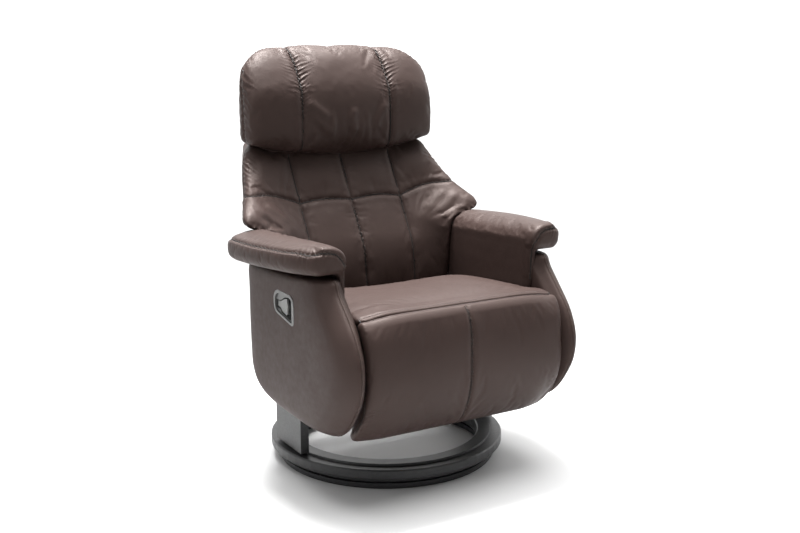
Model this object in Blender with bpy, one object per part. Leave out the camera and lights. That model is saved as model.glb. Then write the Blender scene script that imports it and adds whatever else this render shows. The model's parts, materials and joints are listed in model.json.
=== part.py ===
"""Swivel recliner armchair. Metres, +Z up. The origin is on the floor under the swivel axis.

-Y is the front, and +X is the left of the person who sits in it. The release handle is on -X.
"""

import math

import bmesh
import bpy
from mathutils import Matrix, Vector

GAP = 0.0003
STEEL_T = 0.004

# Base: floor ring, bearing and the wooden ring that turns on it
RING_R = 0.300
RING_INNER_R = 0.237
RING_BOTTOM_Z = 0.0270
RING_TOP_Z = 0.0550
TIER_R = 0.272
TIER_TOP_Z = 0.0600
FLOOR_RING_R = 0.282
FLOOR_RING_INNER_R = 0.246
GRIP_TOP_Z = 0.003
LOWER_RACE_TOP_Z = 0.0150
CAGE_TOP_Z = 0.0200
ROUND_STEPS = 64

# Uprights between the base ring and the seat
UPRIGHT_X = (0.262, 0.284)
UPRIGHT_Y = (-0.073, 0.065)
UPRIGHT_TOP_Z = 0.375
SCREW_R = 0.004

# Side layers from the panel inwards: lug and crank, fixed plate, push link, seat rail
LUG_X = (0.2577, 0.2617)
PLATE_X = (0.2530, 0.2570)
LINK_X = (0.2483, 0.2523)
RAIL_X = (0.225, 0.2475)
RAIL_Z = (0.300, 0.350)
RAIL_T = 0.022
FRONT_RAIL_Y = -0.285
REAR_RAIL_Y = 0.100

# Joint axes along X as (y, z), and the paddle's along Z as (x, y)
LEGREST_AXIS = (-0.326, 0.440)
DRIVE_AXIS = (-0.020, 0.270)
CRANK_END = (0.000, 0.220)
LUG_END = (-0.306, 0.390)
RECLINE_AXIS = (0.2022, 0.345)
HEADREST_AXIS = (0.235, 0.785)
PADDLE_AXIS = (-0.3200, -0.0660)
PLATE_BOSSES = ((-0.050, 0.345), (0.045, 0.345))
SHAFT_R = 0.008
DRIVE_R = 0.010
STUD_R = 0.004
EYE_R = 0.012

# Seat and legrest
SEAT_HALF_W = 0.2515
SEAT_LOWER_HALF_W = 0.240
SEAT_STEP_Z = 0.415
SEAT_BOTTOM_Z = 0.356
LEGREST_HALF_W = 0.2525
LEGREST_ROLL_R = 0.016
BOARD_T = 0.012

# Side panels and arms
PANEL_X = (0.262, 0.332)
PANEL_RIDGE_X = 0.287
INNER_ARM_X = (0.2535, 0.2747)
INNER_ARM_Y = (-0.255, 0.115)
INNER_ARM_BOTTOM_Z = 0.405
PAD_FRONT_Z = 0.5400
PAD_FRONT_Y = -0.270
PAD_SLOPE = 0.050

# Release handle: a dished bezel in the left panel, with a paddle on an upright axis at its rear
BEZEL_FACE_X = -0.3365
BEZEL_SEAT_X = -0.3325
PAN_BACK_X = -0.3080
PAN_WALL = 0.002
PIN_R = 0.0015

# Backrest: front and rear faces as y over z, half width over z
BACK_BOTTOM_Z = 0.370
BACK_TOP_Z = 0.752
REAR_Y_AT_BOTTOM = 0.2386
REAR_SLOPE = 0.357
TUBE_R = 0.0125
SHELL_T = 0.012
TUBE_X = 0.1995
TUBE_INSET = 0.0275
POCKET_DEPTH = 0.045
POCKET_HALF_W = 0.2255
TOP_BAR_Z = 0.712
BOTTOM_BAR_Z = 0.440
HEAD_PLATE_X = 0.0905
HEAD_ARM_X = 0.0860

LEATHER = ("leather", (0.105, 0.078, 0.072), 0.45, 0.0)
LINING = ("lining", (0.030, 0.028, 0.028), 0.90, 0.0)
WOOD = ("stained_wood", (0.030, 0.030, 0.031), 0.50, 0.0)
PLYWOOD = ("plywood", (0.420, 0.280, 0.150), 0.70, 0.0)
STEEL = ("black_steel", (0.035, 0.035, 0.037), 0.45, 0.8)
ZINC = ("zinc_steel", (0.480, 0.480, 0.490), 0.35, 1.0)
RUBBER = ("rubber", (0.020, 0.020, 0.020), 0.85, 0.0)
POLYMER = ("black_plastic", (0.025, 0.025, 0.026), 0.55, 0.0)
GREY_PLASTIC = ("grey_plastic", (0.330, 0.330, 0.320), 0.35, 0.0)
WEBBING = ("webbing", (0.060, 0.060, 0.065), 0.95, 0.0)

SIDES = (("left", -1), ("right", 1))

pivots = {}


def clear_scene():
    for obj in list(bpy.data.objects):
        bpy.data.objects.remove(obj, do_unlink=True)


def material(spec):
    name, colour, roughness, metallic = spec
    found = bpy.data.materials.get(name)
    if found:
        return found
    made = bpy.data.materials.new(name)
    made.use_nodes = True
    shader = made.node_tree.nodes["Principled BSDF"]
    shader.inputs["Base Color"].default_value = (*colour, 1.0)
    shader.inputs["Roughness"].default_value = roughness
    shader.inputs["Metallic"].default_value = metallic
    return made


def add_pivot(name, location, parent=None):
    empty = bpy.data.objects.new(f"pivot_{name}", None)
    bpy.context.collection.objects.link(empty)
    pivots[name] = (empty, Vector(location))
    if parent:
        parent_empty, parent_at = pivots[parent]
        empty.parent = parent_empty
        empty.location = Vector(location) - parent_at
    else:
        empty.location = location


def hang(obj, body, spec):
    """Gives the object its material and hangs it on its body's pivot, with its origin on that joint's axis."""
    empty, at = pivots[body]
    obj.data.transform(Matrix.Translation(-at))
    obj.parent = empty
    obj.data.materials.append(material(spec))
    if obj.type == "MESH":
        obj.data.shade_smooth()
        obj.data.set_sharp_from_angle(angle=math.radians(35))
    return obj


def mesh_object(name, bm):
    bmesh.ops.recalc_face_normals(bm, faces=bm.faces[:])
    mesh = bpy.data.meshes.new(name)
    bm.to_mesh(mesh)
    bm.free()
    obj = bpy.data.objects.new(name, mesh)
    bpy.context.collection.objects.link(obj)
    return obj


def rounded(corners, arc_step=math.radians(15)):
    """A closed outline from corners (a, b, radius), each rounded by an arc of its radius."""
    outline = []
    for i, (a, b, radius) in enumerate(corners):
        corner = Vector((a, b))
        to_last = (Vector(corners[i - 1][:2]) - corner).normalized()
        to_next = (Vector(corners[(i + 1) % len(corners)][:2]) - corner).normalized()
        if radius == 0:
            outline.append((a, b))
            continue
        half = to_last.angle(to_next) / 2
        centre = corner + (to_last + to_next).normalized() * (radius / math.sin(half))
        first = corner + to_last * (radius / math.tan(half)) - centre
        sweep = -first.angle_signed(corner + to_next * (radius / math.tan(half)) - centre)
        count = max(1, round(abs(sweep) / arc_step))
        for k in range(count + 1):
            turned = Matrix.Rotation(sweep * k / count, 2) @ first
            outline.append(tuple(centre + turned))
    return outline


def circle(a, b, radius, count=16):
    turns = [2 * math.pi * k / count for k in range(count)]
    return [(a + radius * math.cos(t), b + radius * math.sin(t)) for t in turns]


def hull(points):
    """The convex outline around 2-D points, counter-clockwise."""
    found = []
    for ordered in (sorted(points), sorted(points, reverse=True)):
        chain = []
        for p in ordered:
            while len(chain) > 1 and turn(chain[-2], chain[-1], p) <= 0:
                chain.pop()
            chain.append(p)
        found += chain[:-1]
    return found


def turn(a, b, c):
    return (b[0] - a[0]) * (c[1] - a[1]) - (b[1] - a[1]) * (c[0] - a[0])


def in_space(axis, a, b, along):
    """A point from outline coordinates: (y, z) on an X section, (x, z) on a Y section, (x, y) on a Z section."""
    return {"X": (along, a, b), "Y": (a, along, b), "Z": (a, b, along)}[axis]


def prism(name, outline, axis, low, high):
    bm = bmesh.new()
    corners = [bm.verts.new(in_space(axis, a, b, low)) for a, b in outline]
    face = bm.faces.new(corners)
    moved = bmesh.ops.extrude_face_region(bm, geom=[face])["geom"]
    tops = [v for v in moved if isinstance(v, bmesh.types.BMVert)]
    bmesh.ops.translate(bm, verts=tops, vec=in_space(axis, 0, 0, high - low))
    return mesh_object(name, bm)


def box(name, x, y, z):
    return prism(name, [(x[0], y[0]), (x[1], y[0]), (x[1], y[1]), (x[0], y[1])], "Z", *z)


def loft(name, rings):
    """A closed skin over rings of equally many points, with a flat cap at each end."""
    bm = bmesh.new()
    made = [[bm.verts.new(p) for p in ring] for ring in rings]
    for low, high in zip(made, made[1:]):
        for i in range(len(low)):
            bm.faces.new((low[i - 1], low[i], high[i], high[i - 1]))
    bm.faces.new(made[0])
    bm.faces.new(made[-1])
    return mesh_object(name, bm)


def turned_ring(name, profile, steps=ROUND_STEPS):
    """A ring about Z from its (radius, z) section."""
    bm = bmesh.new()
    verts = [bm.verts.new((r, 0, z)) for r, z in profile]
    edges = [bm.edges.new((verts[i - 1], verts[i])) for i in range(len(verts))]
    bmesh.ops.spin(
        bm,
        geom=verts + edges,
        cent=(0, 0, 0),
        axis=(0, 0, 1),
        angle=2 * math.pi,
        steps=steps,
        use_merge=True,
    )
    bmesh.ops.remove_doubles(bm, verts=bm.verts[:], dist=1e-6)
    return mesh_object(name, bm)


def rod(name, start, end, radius, sides=14):
    start, end = Vector(start), Vector(end)
    bm = bmesh.new()
    length = (end - start).length
    bmesh.ops.create_cone(
        bm, cap_ends=True, segments=sides, radius1=radius, radius2=radius, depth=length
    )
    turned = (end - start).to_track_quat("Z", "Y").to_matrix().to_4x4()
    bmesh.ops.transform(bm, matrix=Matrix.Translation((start + end) / 2) @ turned, verts=bm.verts[:])
    return mesh_object(name, bm)


def x_rod(name, x, centre, radius, sides=14):
    return rod(name, (x[0], *centre), (x[1], *centre), radius, sides)


def wire(name, points, radius, sides_level=0):
    curve = bpy.data.curves.new(name, "CURVE")
    curve.dimensions = "3D"
    curve.bevel_depth = radius
    curve.bevel_resolution = sides_level
    curve.use_fill_caps = True
    spline = curve.splines.new("POLY")
    spline.points.add(len(points) - 1)
    for point, co in zip(spline.points, points):
        point.co = (*co, 1)
    obj = bpy.data.objects.new(name, curve)
    bpy.context.collection.objects.link(obj)
    return obj


def boolean(obj, helper, operation):
    helper.hide_render = True
    helper.display_type = "WIRE"
    helper.name = f"helper_{helper.name}"
    modifier = obj.modifiers.new(helper.name, "BOOLEAN")
    modifier.operation = operation
    modifier.object = helper
    return obj


def cut(obj, helper):
    return boolean(obj, helper, "DIFFERENCE")


def weld(obj, helper):
    return boolean(obj, helper, "UNION")


def sided(x, side):
    """An X span mirrored to its side, low end first."""
    return tuple(sorted((x[0] * side, x[1] * side)))


def rear_y(z):
    return REAR_Y_AT_BOTTOM + REAR_SLOPE * (z - BACK_BOTTOM_Z)


def tube_y(z):
    return rear_y(z) - TUBE_INSET


def pad_bottom(y):
    """The underside of the arm pads, which drops a little towards the rear."""
    return PAD_FRONT_Z - PAD_SLOPE * (y - PAD_FRONT_Y)


def add_base():
    grip_r = (FLOOR_RING_INNER_R + 0.004, FLOOR_RING_R - 0.004)
    grip = [(grip_r[0], 0), (grip_r[1], 0), (grip_r[1], GRIP_TOP_Z), (grip_r[0], GRIP_TOP_Z)]
    hang(turned_ring("grip_ring", grip), "base", RUBBER)
    low, high = GRIP_TOP_Z + GAP, LOWER_RACE_TOP_Z
    lower = [
        (FLOOR_RING_INNER_R, low),
        (FLOOR_RING_R - 0.003, low),
        (FLOOR_RING_R, low + 0.003),
        (FLOOR_RING_R, high),
        (FLOOR_RING_INNER_R, high),
    ]
    hang(turned_ring("floor_ring", lower), "base", STEEL)
    cage_r = (0.256, 0.274)
    low, high = LOWER_RACE_TOP_Z + GAP, CAGE_TOP_Z
    cage = [(cage_r[0], low), (cage_r[1], low), (cage_r[1], high), (cage_r[0], high)]
    hang(turned_ring("bearing_cage", cage), "base", POLYMER)
    low, high = CAGE_TOP_Z + GAP, RING_BOTTOM_Z - GAP
    upper = [
        (FLOOR_RING_INNER_R, low),
        (FLOOR_RING_R, low),
        (FLOOR_RING_R, high),
        (FLOOR_RING_INNER_R, high),
    ]
    hang(turned_ring("upper_race", upper), "chair", STEEL)


def add_base_ring():
    profile = [
        (RING_INNER_R, RING_BOTTOM_Z),
        (RING_R - 0.006, RING_BOTTOM_Z),
        (RING_R, RING_BOTTOM_Z + 0.007),
        (RING_R, RING_TOP_Z - 0.003),
        (RING_R - 0.003, RING_TOP_Z),
        (TIER_R, RING_TOP_Z),
        (TIER_R - 0.002, TIER_TOP_Z),
        (RING_INNER_R + 0.002, TIER_TOP_Z),
        (RING_INNER_R, TIER_TOP_Z - 0.002),
    ]
    ring = turned_ring("base_ring", profile)
    for side, sign in SIDES:
        x = sign * 0.5 * (UPRIGHT_X[0] + UPRIGHT_X[1]) - sign * 0.005
        cut(ring, rod(f"ring_hole_{side}", (x, 0, 0.02), (x, 0, 0.07), SCREW_R + GAP, 10))
        upright = add_upright(side, sign)
        cut(upright, rod(f"upright_hole_{side}", (x, 0, 0.05), (x, 0, 0.0953), SCREW_R + GAP, 10))
        screw = rod(f"upright_screw_{side}", (x, 0, RING_BOTTOM_Z + 0.001), (x, 0, 0.095), SCREW_R, 10)
        hang(screw, "chair", ZINC)
    hang(ring, "chair", WOOD)


def add_upright(side, sign):
    upright = box(f"upright_{side}", sided(UPRIGHT_X, sign), UPRIGHT_Y, (TIER_TOP_Z + GAP, UPRIGHT_TOP_Z))
    outer = sided((TIER_R - 0.002 - 0.001, 0.30), sign)
    cut(upright, box(f"upright_end_{side}", outer, (-0.2, 0.2), (0.0, RING_TOP_Z + GAP)))
    bolt_y, bolt_z = PLATE_BOSSES[0]
    hole = x_rod(f"upright_bolt_hole_{side}", sided((0.25, 0.2773), sign), (bolt_y, bolt_z), SCREW_R + GAP, 10)
    cut(upright, hole)
    return hang(upright, "chair", WOOD)



def add_side_plate(side, sign):
    """The fixed mechanism plate from the legrest axis at the front to the recline axis at the back."""
    y_h, z_h = LEGREST_AXIS
    y_t, z_t = DRIVE_AXIS
    y_p, z_p = RECLINE_AXIS
    outline = rounded(
        [
            (y_h + 0.000, z_h + EYE_R + 0.002, 0.012),
            (y_h + 0.060, z_h - 0.045, 0.010),
            (y_h + 0.130, z_h - 0.060, 0.020),
            (y_t + 0.060, 0.375, 0.020),
            (y_p + 0.000, z_p + 0.020, 0.010),
            (y_p + 0.020, z_p + 0.000, 0.010),
            (y_p + 0.000, z_p - 0.020, 0.010),
            (y_t + 0.030, z_t - 0.016, 0.010),
            (y_t - 0.020, z_t - 0.016, 0.010),
            (y_t - 0.080, 0.290, 0.020),
            (FRONT_RAIL_Y, 0.295, 0.010),
            (FRONT_RAIL_Y - 0.006, z_h - 0.050, 0.010),
            (y_h - EYE_R, z_h - 0.006, 0.008),
        ],
        math.radians(30),
    )
    plate = prism(f"side_plate_{side}", outline, "X", *sided(PLATE_X, sign))
    for k, (y, z) in enumerate(PLATE_BOSSES):
        weld(plate, x_rod(f"boss_{side}_{k}", sided((0.255, 0.2617), sign), (y, z), 0.012, 12))
    bolt_y, bolt_z = PLATE_BOSSES[0]
    cut(plate, x_rod(f"plate_bolt_hole_{side}", sided((0.25, 0.27), sign), (bolt_y, bolt_z), SCREW_R + GAP, 10))
    weld(plate, x_rod(f"legrest_stud_{side}", sided((0.2545, 0.2612), sign), LEGREST_AXIS, STUD_R, 12))
    cut(plate, x_rod(f"drive_hole_{side}", sided((0.25, 0.26), sign), DRIVE_AXIS, DRIVE_R + GAP))
    cut(plate, x_rod(f"shaft_hole_{side}", sided((0.25, 0.26), sign), RECLINE_AXIS, SHAFT_R + GAP))
    hang(plate, "chair", STEEL)
    bolt = x_rod(f"plate_bolt_{side}", sided((0.2525, 0.277), sign), (bolt_y, bolt_z), SCREW_R, 10)
    weld(bolt, x_rod(f"bolt_head_{side}", sided((0.2490, 0.2527), sign), (bolt_y, bolt_z), 0.0075, 6))
    hang(bolt, "chair", ZINC)


def add_seat_frame():
    for side, sign in SIDES:
        rail_y = (FRONT_RAIL_Y, REAR_RAIL_Y + RAIL_T)
        hang(box(f"seat_rail_{side}", sided(RAIL_X, sign), rail_y, RAIL_Z), "chair", PLYWOOD)
    between = (-RAIL_X[0] + GAP, RAIL_X[0] - GAP)
    for name, y in (("front", FRONT_RAIL_Y), ("rear", REAR_RAIL_Y)):
        hang(box(f"seat_rail_{name}", between, (y, y + RAIL_T), RAIL_Z), "chair", PLYWOOD)
    for name, y in (("front", -0.200), ("rear", 0.110)):
        reach = (-PLATE_X[0] + GAP, PLATE_X[0] - GAP)
        hang(x_rod(f"cross_tube_{name}", reach, (y, 0.275), TUBE_R), "chair", STEEL)
    hang(x_rod("recline_shaft", (-PLATE_X[1], PLATE_X[1]), RECLINE_AXIS, SHAFT_R), "chair", ZINC)


def add_seat_springs():
    """Three zigzag wire springs from the front rail to the rear rail."""
    start = FRONT_RAIL_Y + RAIL_T + 0.0018
    length = REAR_RAIL_Y - 0.0018 - start
    waves, per_wave, amplitude = 7, 4, 0.020
    for number, x in enumerate((-0.135, 0.0, 0.135), 1):
        points = []
        for k in range(waves * per_wave + 1):
            turns = 2 * math.pi * k / per_wave
            points.append((x + amplitude * math.sin(turns), start + length * k / (waves * per_wave), 0.342))
        hang(wire(f"seat_spring_{number}", points, 0.0016), "chair", ZINC)


def add_seat_cushion():
    profile = rounded(
        [
            (-0.309, 0.458, 0.014),
            (-0.180, 0.460, 0.150),
            (0.075, 0.418, 0.012),
            (0.075, SEAT_BOTTOM_Z, 0.006),
            (-0.275, SEAT_BOTTOM_Z, 0.006),
            (-0.275, 0.424, 0.004),
            (-0.309, 0.428, 0.004),
        ]
    )
    seat = prism("seat_cushion", profile, "X", -SEAT_HALF_W, SEAT_HALF_W)
    for side, sign in SIDES:
        x = sided((SEAT_LOWER_HALF_W, 0.30), sign)
        cut(seat, box(f"seat_rebate_{side}", x, (-0.35, 0.12), (0.30, SEAT_STEP_Z)))
    hang(seat, "chair", LEATHER)


def panel_outline():
    top_z = PAD_FRONT_Z + 0.010
    return rounded(
        [
            (0.120, top_z, 0.0),
            (0.115, 0.176, 0.130),
            (-0.296, 0.172, 0.105),
            (-0.374, 0.338, 0.080),
            (-0.214, top_z, 0.0),
        ]
    )


def add_side_panel(side, sign):
    """A pad of two leather faces that meet in a forward ridge, over the upright and the rail."""
    rings = []
    fixed = Vector((0.119, 0.420))
    sections = (
        (PANEL_X[0], (1.0, 0.995)),
        (PANEL_RIDGE_X, (1.075, 1.0)),
        (0.310, (1.038, 0.985)),
        (PANEL_X[1], (0.948, 0.955)),
    )
    for x, scale in sections:
        ring = [fixed + (Vector(p) - fixed) * Vector(scale) for p in panel_outline()]
        rings.append([(x * sign, y, min(z, pad_bottom(y) - GAP)) for y, z in ring])
    panel = loft(f"side_panel_{side}", rings)
    pocket_y = (UPRIGHT_Y[0] - GAP, UPRIGHT_Y[1] + GAP)
    pocket_x = sided((0.25, UPRIGHT_X[1] + GAP), sign)
    cut(panel, box(f"upright_pocket_{side}", pocket_x, pocket_y, (0.10, UPRIGHT_TOP_Z + GAP)))
    rebate_x = sided((0.25, INNER_ARM_X[1] + GAP), sign)
    rebate_z = (INNER_ARM_BOTTOM_Z - GAP, 0.60)
    cut(panel, box(f"arm_rebate_{side}", rebate_x, (INNER_ARM_Y[0] - GAP, 0.20), rebate_z))
    if side == "left":
        cut(panel, prism("bezel_pocket", bezel_outline(-0.0035), "X", -0.36, PAN_BACK_X + GAP))
        cut(panel, tube_cutter("cable_channel", cable_route(), 0.0040))
    hang(panel, "chair", LEATHER)


def add_arm(side, sign):
    outline = [(y, INNER_ARM_BOTTOM_Z) for y in INNER_ARM_Y]
    outline += [(y, pad_bottom(y) - GAP) for y in reversed(INNER_ARM_Y)]
    hang(prism(f"inner_arm_{side}", outline, "X", *sided(INNER_ARM_X, sign)), "chair", LEATHER)
    inner = INNER_ARM_X[0]
    plan = rounded(
        [
            (inner, -0.272, 0.030),
            (0.362, -0.277, 0.045),
            (0.4003, -0.050, 0.100),
            (0.396, 0.136, 0.055),
            (inner, 0.136, 0.012),
        ]
    )
    centre = Vector((0.5 * (inner + 0.396), -0.070))
    rings = []
    for height, inset in ((0, 0.010), (0.012, 0), (0.046, 0), (0.062, 0.014), (0.072, 0.045)):
        ring = []
        for p in plan:
            away = Vector(p) - centre
            y = centre.y + away.y * (1 - inset / 0.20)
            ring.append(((centre.x + away.x * (1 - inset / 0.07)) * sign, y, pad_bottom(y) + height))
        rings.append(ring)
    hang(loft(f"arm_pad_{side}", rings), "chair", LEATHER)


def bezel_outline(grow=0.0):
    """The bezel's shield shape as (y, z): rounded rear top, upright front, pointed front bottom."""
    corners = [
        (-0.049, 0.478, 0.026),
        (-0.049, 0.424, 0.024),
        (-0.157, 0.404, 0.012),
        (-0.157, 0.477, 0.024),
    ]
    centre = Vector((-0.107, 0.445))
    outline = []
    for point in rounded(corners, math.radians(20)):
        away = Vector(point) - centre
        outline.append(tuple(centre + away * (1 + grow / away.length)))
    return outline


def add_bezel():
    bezel = prism("handle_bezel", bezel_outline(), "X", BEZEL_FACE_X, BEZEL_SEAT_X)
    weld(bezel, prism("bezel_pan", bezel_outline(-0.004), "X", BEZEL_SEAT_X - 0.001, PAN_BACK_X))
    inside = prism("bezel_inside", bezel_outline(-0.008), "X", -0.36, PAN_BACK_X - PAN_WALL)
    cut(bezel, inside)
    y_lug = (PADDLE_AXIS[1] - 0.004, PADDLE_AXIS[1] + 0.004)
    for name, z in (("low", (0.4300, 0.4367)), ("high", (0.4503, 0.4570))):
        weld(bezel, box(f"pin_lug_{name}", (-0.3245, PAN_BACK_X - 0.0005), y_lug, z))
    cut(bezel, rod("pin_bore", (*PADDLE_AXIS, 0.4320), (*PADDLE_AXIS, 0.4550), PIN_R + GAP, 10))
    hang(bezel, "chair", GREY_PLASTIC)


def add_paddle():
    """The pull paddle: a stem at the rear axis that widens to an upright finger edge."""
    y_axis = PADDLE_AXIS[1]
    outline = [
        (y_axis + 0.003, 0.4490),
        (y_axis + 0.003, 0.4370),
        (y_axis - 0.012, 0.4355),
        (y_axis - 0.019, 0.4280),
        (y_axis - 0.041, 0.4230),
        (y_axis - 0.046, 0.4260),
        (y_axis - 0.048, 0.4460),
        (y_axis - 0.043, 0.4620),
        (y_axis - 0.034, 0.4610),
        (y_axis - 0.014, 0.4515),
    ]
    paddle = prism("release_paddle", outline, "X", -0.3305, -0.3255)
    weld(paddle, rod("paddle_boss", (*PADDLE_AXIS, 0.4380), (*PADDLE_AXIS, 0.4490), 0.0052, 12))
    weld(paddle, box("paddle_stem", (-0.3295, -0.3205), (y_axis - 0.010, y_axis - 0.002), (0.4385, 0.4485)))
    cut(paddle, rod("paddle_bore", (*PADDLE_AXIS, 0.43), (*PADDLE_AXIS, 0.46), PIN_R + GAP, 10))
    hang(paddle, "paddle", GREY_PLASTIC)
    hang(rod("paddle_pin", (*PADDLE_AXIS, 0.4325), (*PADDLE_AXIS, 0.4545), PIN_R, 10), "chair", ZINC)


def cable_route():
    """Points of the release cable: out of the bezel's back, down inside the panel, along the plate to the latch."""
    guides = [
        (-0.3076, -0.1000, 0.4400),
        (-0.2950, -0.1000, 0.4370),
        (-0.2840, -0.1000, 0.4150),
        (-0.2720, -0.1000, 0.3850),
        (-0.2615, -0.1000, 0.3600),
        (-0.2597, -0.1000, 0.3350),
        (-0.2597, -0.0960, 0.3100),
        (-0.2597, -0.0930, 0.2910),
    ]
    return smooth_route(guides, 4)


def smooth_route(guides, steps):
    """A Catmull-Rom curve through the guide points."""
    padded = [guides[0], *guides, guides[-1]]
    route = []
    for a, b, c, d in zip(padded, padded[1:], padded[2:], padded[3:]):
        a, b, c, d = Vector(a), Vector(b), Vector(c), Vector(d)
        for k in range(steps):
            t = k / steps
            route.append(
                0.5 * (2 * b + (c - a) * t + (2 * a - 5 * b + 4 * c - d) * t**2 + (3 * b - a - 3 * c + d) * t**3)
            )
    return [tuple(p) for p in route] + [guides[-1]]


def tube_cutter(name, route, radius):
    """A mesh tube of six sides around a route, longer than it at both ends, for a cut."""
    first = Vector(route[0]) * 2 - Vector(route[1])
    ways = [first, *(Vector(p) for p in route)]
    rings = []
    for k, at in enumerate(ways):
        along = (ways[min(k + 1, len(ways) - 1)] - ways[max(k - 1, 0)]).normalized()
        side = along.cross(Vector((0, 1, 0))).normalized()
        up = Vector((0, 1, 0))
        ring = [at + radius * (math.cos(t) * side + math.sin(t) * up) for t in (k * math.pi / 3 for k in range(6))]
        rings.append(ring)
    return loft(name, rings)


def add_release_cable():
    hang(wire("release_cable", cable_route(), 0.0016, 1), "chair", RUBBER)
    latch = box("latch_block", (-0.2617, -0.2573), (-0.1020, -0.0860), (0.2700, 0.2905))
    hang(latch, "chair", ZINC)


def add_drive():
    """The torque tube, its two cranks, and the torsion spring that pushes the legrest out."""
    hang(x_rod("torque_tube", (-LUG_X[1] + 0.001, LUG_X[1] - 0.001), DRIVE_AXIS, DRIVE_R), "drive", STEEL)
    for side, sign in SIDES:
        outline = hull(circle(*DRIVE_AXIS, 0.016) + circle(*CRANK_END, 0.010))
        crank = prism(f"crank_{side}", outline, "X", *sided(LUG_X, sign))
        cut(crank, x_rod(f"crank_bore_{side}", sided((0.25, 0.27), sign), DRIVE_AXIS, DRIVE_R + GAP))
        cut(crank, x_rod(f"crank_stud_hole_{side}", sided((0.25, 0.27), sign), CRANK_END, STUD_R + GAP, 12))
        hang(crank, "drive", STEEL)
    turns, per_turn, radius = 4, 10, 0.0135
    points = []
    for k in range(turns * per_turn + 1):
        angle = 2 * math.pi * k / per_turn
        y = DRIVE_AXIS[0] + radius * math.cos(angle)
        z = DRIVE_AXIS[1] + radius * math.sin(angle)
        points.append((0.060 + 0.0055 * k / per_turn, y, z))
    hang(wire("torsion_spring", points, 0.0018), "chair", ZINC)


def add_push_link(side, sign):
    """A flat link from the crank to the legrest lug, with a stud at each end. It stays parallel to itself."""
    outline = hull(circle(*CRANK_END, 0.009) + circle(*LUG_END, 0.009))
    link = prism(f"push_link_{side}", outline, "X", *sided(LINK_X, sign))
    for name, centre in (("crank", CRANK_END), ("lug", LUG_END)):
        weld(link, x_rod(f"{name}_stud_{side}", sided((0.250, 0.2612), sign), centre, STUD_R, 12))
    hang(link, f"link_{side}", STEEL)


def legrest_profile(roll):
    """The legrest's side outline as (y, z), with its top rolled about the hinge axis."""
    y_h, z_h = LEGREST_AXIS
    return rounded(
        [
            (y_h, z_h + roll, 0.0),
            (-0.386, 0.458, 0.045),
            (-0.405, 0.300, 0.110),
            (-0.318, 0.140, 0.034),
            (-0.268, 0.176, 0.010),
            (y_h, 0.200, 0.006),
        ]
    )


def add_legrest():
    y_h = LEGREST_AXIS[0]
    middle = Vector((-0.36, 0.30))
    rings = []
    for x, scale in ((-1, 0.93), (-0.94, 1.0), (0.94, 1.0), (1, 0.93)):
        ring = [middle + (Vector(p) - middle) * scale for p in legrest_profile(LEGREST_ROLL_R)]
        rings.append([(x * LEGREST_HALF_W, min(a, y_h) if b > 0.21 else a, b) for a, b in ring])
    hang(loft("legrest_cushion", rings), "legrest", LEATHER)
    board_y = (y_h + GAP, y_h + GAP + BOARD_T)
    hang(box("legrest_board", (-0.245, 0.245), board_y, (0.215, 0.415)), "legrest", PLYWOOD)
    flange_y = (board_y[1] + GAP, board_y[1] + GAP + STEEL_T)
    for side, sign in SIDES:
        foot = [(y_h - 0.004, 0.280), (flange_y[1], 0.280), (flange_y[1], 0.360)]
        outline = hull(circle(*LEGREST_AXIS, EYE_R) + circle(*LUG_END, 0.010) + foot)
        lug = prism(f"legrest_lug_{side}", outline, "X", *sided(LUG_X, sign))
        weld(lug, box(f"lug_flange_{side}", sided((0.205, 0.2600), sign), flange_y, (0.280, 0.360)))
        for name, centre in (("axis", LEGREST_AXIS), ("link", LUG_END)):
            cut(lug, x_rod(f"lug_{name}_hole_{side}", sided((0.25, 0.27), sign), centre, STUD_R + 0.0005, 12))
        hang(lug, "legrest", STEEL)


def back_section(z, front_y, half_w, wing_y, rear_half_w):
    """One level of the back cushion, as a ring of points: a flat middle between wings that reach forwards."""
    rear = rear_y(z)
    side = [
        (0.150, front_y),
        (half_w - 0.050, 0.5 * (front_y + wing_y)),
        (half_w - 0.008, wing_y),
        (half_w, wing_y + 0.018),
        (half_w - 0.006, wing_y + 0.040),
        (rear_half_w, rear - 0.014),
        (rear_half_w - 0.014, rear),
    ]
    return [(x, y, z) for x, y in side] + [(-x, y, z) for x, y in reversed(side)]


def add_back_cushion():
    levels = [
        (BACK_BOTTOM_Z, 0.094, 0.244, 0.106, 0.240),
        (0.410, 0.094, 0.250, 0.104, 0.240),
        (0.447, 0.097, 0.250, 0.104, 0.240),
        (0.512, 0.108, 0.250, 0.106, 0.240),
        (0.570, 0.139, 0.250, 0.118, 0.240),
        (0.580, 0.144, 0.290, 0.120, 0.240),
        (0.600, 0.155, 0.325, 0.092, 0.241),
        (0.620, 0.166, 0.330, 0.098, 0.242),
        (0.640, 0.176, 0.318, 0.124, 0.243),
        (0.665, 0.191, 0.301, 0.160, 0.244),
        (0.710, 0.218, 0.286, 0.204, 0.240),
        (BACK_TOP_Z, 0.243, 0.268, 0.230, 0.238),
    ]
    back = loft("back_cushion", [back_section(*level) for level in levels])
    frame_z = (0.30, BACK_TOP_Z - 0.022)
    pocket = [(rear_y(z) - POCKET_DEPTH, z) for z in frame_z] + [(0.60, frame_z[1]), (0.60, frame_z[0])]
    cut(back, prism("frame_pocket", pocket, "X", -POCKET_HALF_W, POCKET_HALF_W))
    cut(back, box("bracket_notch", (-0.125, 0.125), (0.257, 0.45), (0.69, 0.80)))
    for side, sign in SIDES:
        cut(back, box(f"arm_room_{side}", sided((0.2505, 0.42), sign), (0.05, 0.142), (0.50, 0.603)))
    hang(back, "backrest", LEATHER)


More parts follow.
